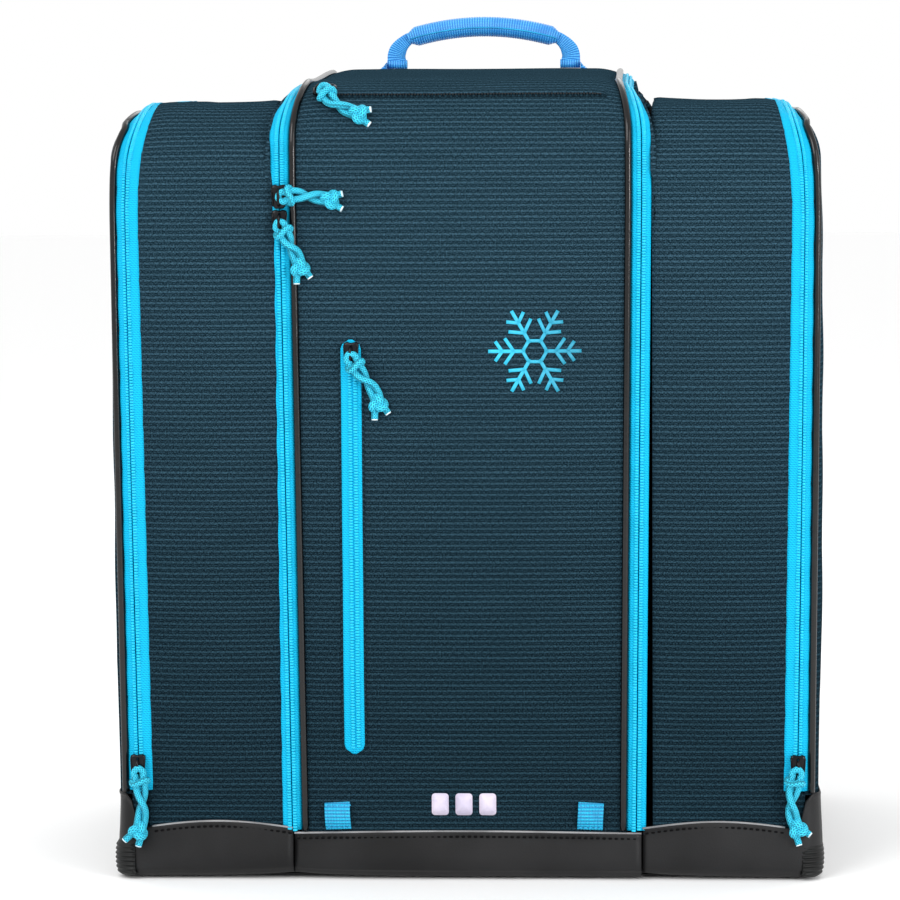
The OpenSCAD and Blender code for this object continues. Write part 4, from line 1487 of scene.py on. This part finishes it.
def front_point(x, v, lift):
    """A place on the front of the bag: cloth of whichever compartment is there, or the base."""
    if v < 31:
        return np.array([x, FRONT_Y - 2.3 - lift, v])
    pod, swell = (MIDDLE, mid_swell) if abs(x) < MID_HALF - 8 else (BOOT, boot_swell)
    if pod is BOOT and abs(x) >= float(side_zip(v)) - TAPE_W:
        lift, swell = lift + 1.0, None
    return pod.surface(np.array([x]), np.array([v]), lift, swell)[0]


def pull(name, body, node, route):
    """A doubled cord hitched on a slider, knotted, with two cut tails."""
    fine = smooth_path([front_point(*p) for p in route], PULL_POINTS)
    gap = smooth_path(np.column_stack([STRAND_GAP, STRAND_GAP]), PULL_POINTS)[:, 0]
    run = unit(np.gradient(fine, axis=0))
    beside = unit(np.cross(run, [0, -1.0, 0]))
    out = np.cross(beside, run)
    out *= np.sign(-out[:, 1:2])
    hitch = Skin()
    k = HITCH_AT
    angle = np.linspace(0, 2 * math.pi, 33)[:-1, None]
    ring = fine[k] + beside[k] * (gap[k] + 2.2) * np.cos(angle) + out[k] * 3.1 * np.sin(angle)
    sweep(hitch, ring + run[k] * 0.9 * np.sin(angle * 2), 1.9, 10, closed=True)
    loop = [(gap[0], 2), (gap[0] + 0.3, -1.0), (0, -3.2), (-gap[0] - 0.3, -1.0), (-gap[0], 2)]
    loop = [fine[0] + beside[0] * across + run[0] * along for across, along in loop]
    sweep(hitch, smooth_path(loop, 30), 1.95, 10)
    pieces = [build(name + "_hitch", hitch, "cord", body)]
    k = int(KNOT_AT * (PULL_POINTS - 1))
    t = np.linspace(0, 2 * math.pi, 91)[:-1, None]
    a = (np.sin(t) + 2 * np.sin(2 * t)) * 1.3
    b = (np.cos(t) - 2 * np.cos(2 * t)) * 1.3
    along = a * math.cos(KNOT_TILT) - b * math.sin(KNOT_TILT)
    across = a * math.sin(KNOT_TILT) + b * math.cos(KNOT_TILT)
    loop = fine[k] + out[k] * 1.3 + run[k] * along + beside[k] * across - out[k] * 2.0 * np.sin(3 * t)
    knot = sweep(Skin(), loop, 2.35, 12, closed=True)
    pieces.append(build(name + "_knot", knot, "cord", body))
    ends = Skin()
    turn = math.pi * ramp(np.linspace(0, 1, PULL_POINTS), 0.12, 0.62)[:, None]
    for index, hand in enumerate((-1, 1)):
        path = fine + (beside * np.cos(turn) + out * np.sin(turn)) * (gap * hand)[:, None]
        path = (path + out * 1.2 * np.sin(turn))[: PULL_POINTS - 2 if hand > 0 else PULL_POINTS]
        tube = sweep(Skin(), path, CORD_D / 2, 12)
        nodes = [node] if index == 0 else ()
        build(f"{name}_strand_{index + 1}", tube, "cord", body, nodes)
        tip = unit(path[-1] - path[-2])
        sweep(ends, [path[-1] - tip * 0.3, path[-1] + tip * 0.7], 1.85, 12)
    pieces.append(build(name + "_cut_ends", ends, "cut_end", body))


pull("pull_upper", "upper_slider", "center_pull_upper",
     [(-102, 404, 6.4), (-95, 405, 6.0), (-87, 404, 3.8), (-80, 403, 2.6), (-74, 402, 2.4), (-68, 401, 2.3)])
pull("pull_lower", "lower_slider", "center_pull_lower",
     [(-104, 385, 6.4), (-101, 379, 6.0), (-98, 373, 4.2), (-95, 367, 3.0), (-93, 360, 2.4), (-91, 353, 2.3)])
pull("pull_pocket", "pocket_zip_slider", "pocket_pull",
     [(-63, 308, 6.6), (-59, 301, 5.4), (-54, 295, 3.4), (-50, 288, 2.5), (-48, 281, 2.3), (-46, 274, 2.3)])
pull("pull_goggle", "goggle_zip_slider", "goggle_pull",
     [(-80, GOGGLE_V - 3, 5.4), (-76, 476, 4.6), (-70, 471, 3.7), (-64, 468, 3.0), (-58, 465, 2.7),
      (-52, 463, 2.6)])
pull("pull_left", "left_slider", "outer_pull_left",
     [(-193, 64, 6.4), (-192, 55, 5.8), (-191, 46, 5.0), (-192, 37, 4.4), (-194, 29, 3.8), (-198, 22, 3.8)])
pull("pull_right", "right_slider", "outer_pull_right",
     [(193, 64, 6.4), (191, 55, 5.8), (190, 46, 5.0), (191, 38, 4.6), (194, 31, 4.2), (198, 25, 4.2)])


# ---------------------------------------------------------------- floor, light
def add_stage():
    bpy.ops.mesh.primitive_plane_add(size=30, location=(0, 0, -0.0005))
    floor = bpy.context.object
    floor.name = "floor"
    g = Graph("pale_floor", 0.8)
    g.color((0.98, 0.98, 0.98))
    floor.data.materials.append(g.material)
    world = bpy.data.worlds.new("studio")
    bpy.context.scene.world = world
    world.use_nodes = True
    world.node_tree.nodes["Background"].inputs[0].default_value = (1, 1, 1, 1)
    world.node_tree.nodes["Background"].inputs[1].default_value = 1.0
    for name, place, size, power in (
        ("key", (-1.4, -2.0, 1.9), 1.6, 42),
        ("fill", (1.7, -1.7, 1.0), 1.4, 16),
        ("rim", (0.3, 1.8, 1.8), 1.2, 8),
        ("strip", (1.3, -1.5, 0.5), 0.22, 7),
    ):
        data = bpy.data.lights.new(name, "AREA")
        data.size = size
        data.energy = power
        lamp = bpy.data.objects.new(name, data)
        bpy.context.scene.collection.objects.link(lamp)
        lamp.location = place
        lamp.rotation_euler = (Vector((0, 0, 0.25)) - Vector(place)).to_track_quat("-Z", "Y").to_euler()


add_stage()
bpy.context.scene.view_settings.view_transform = "Standard"
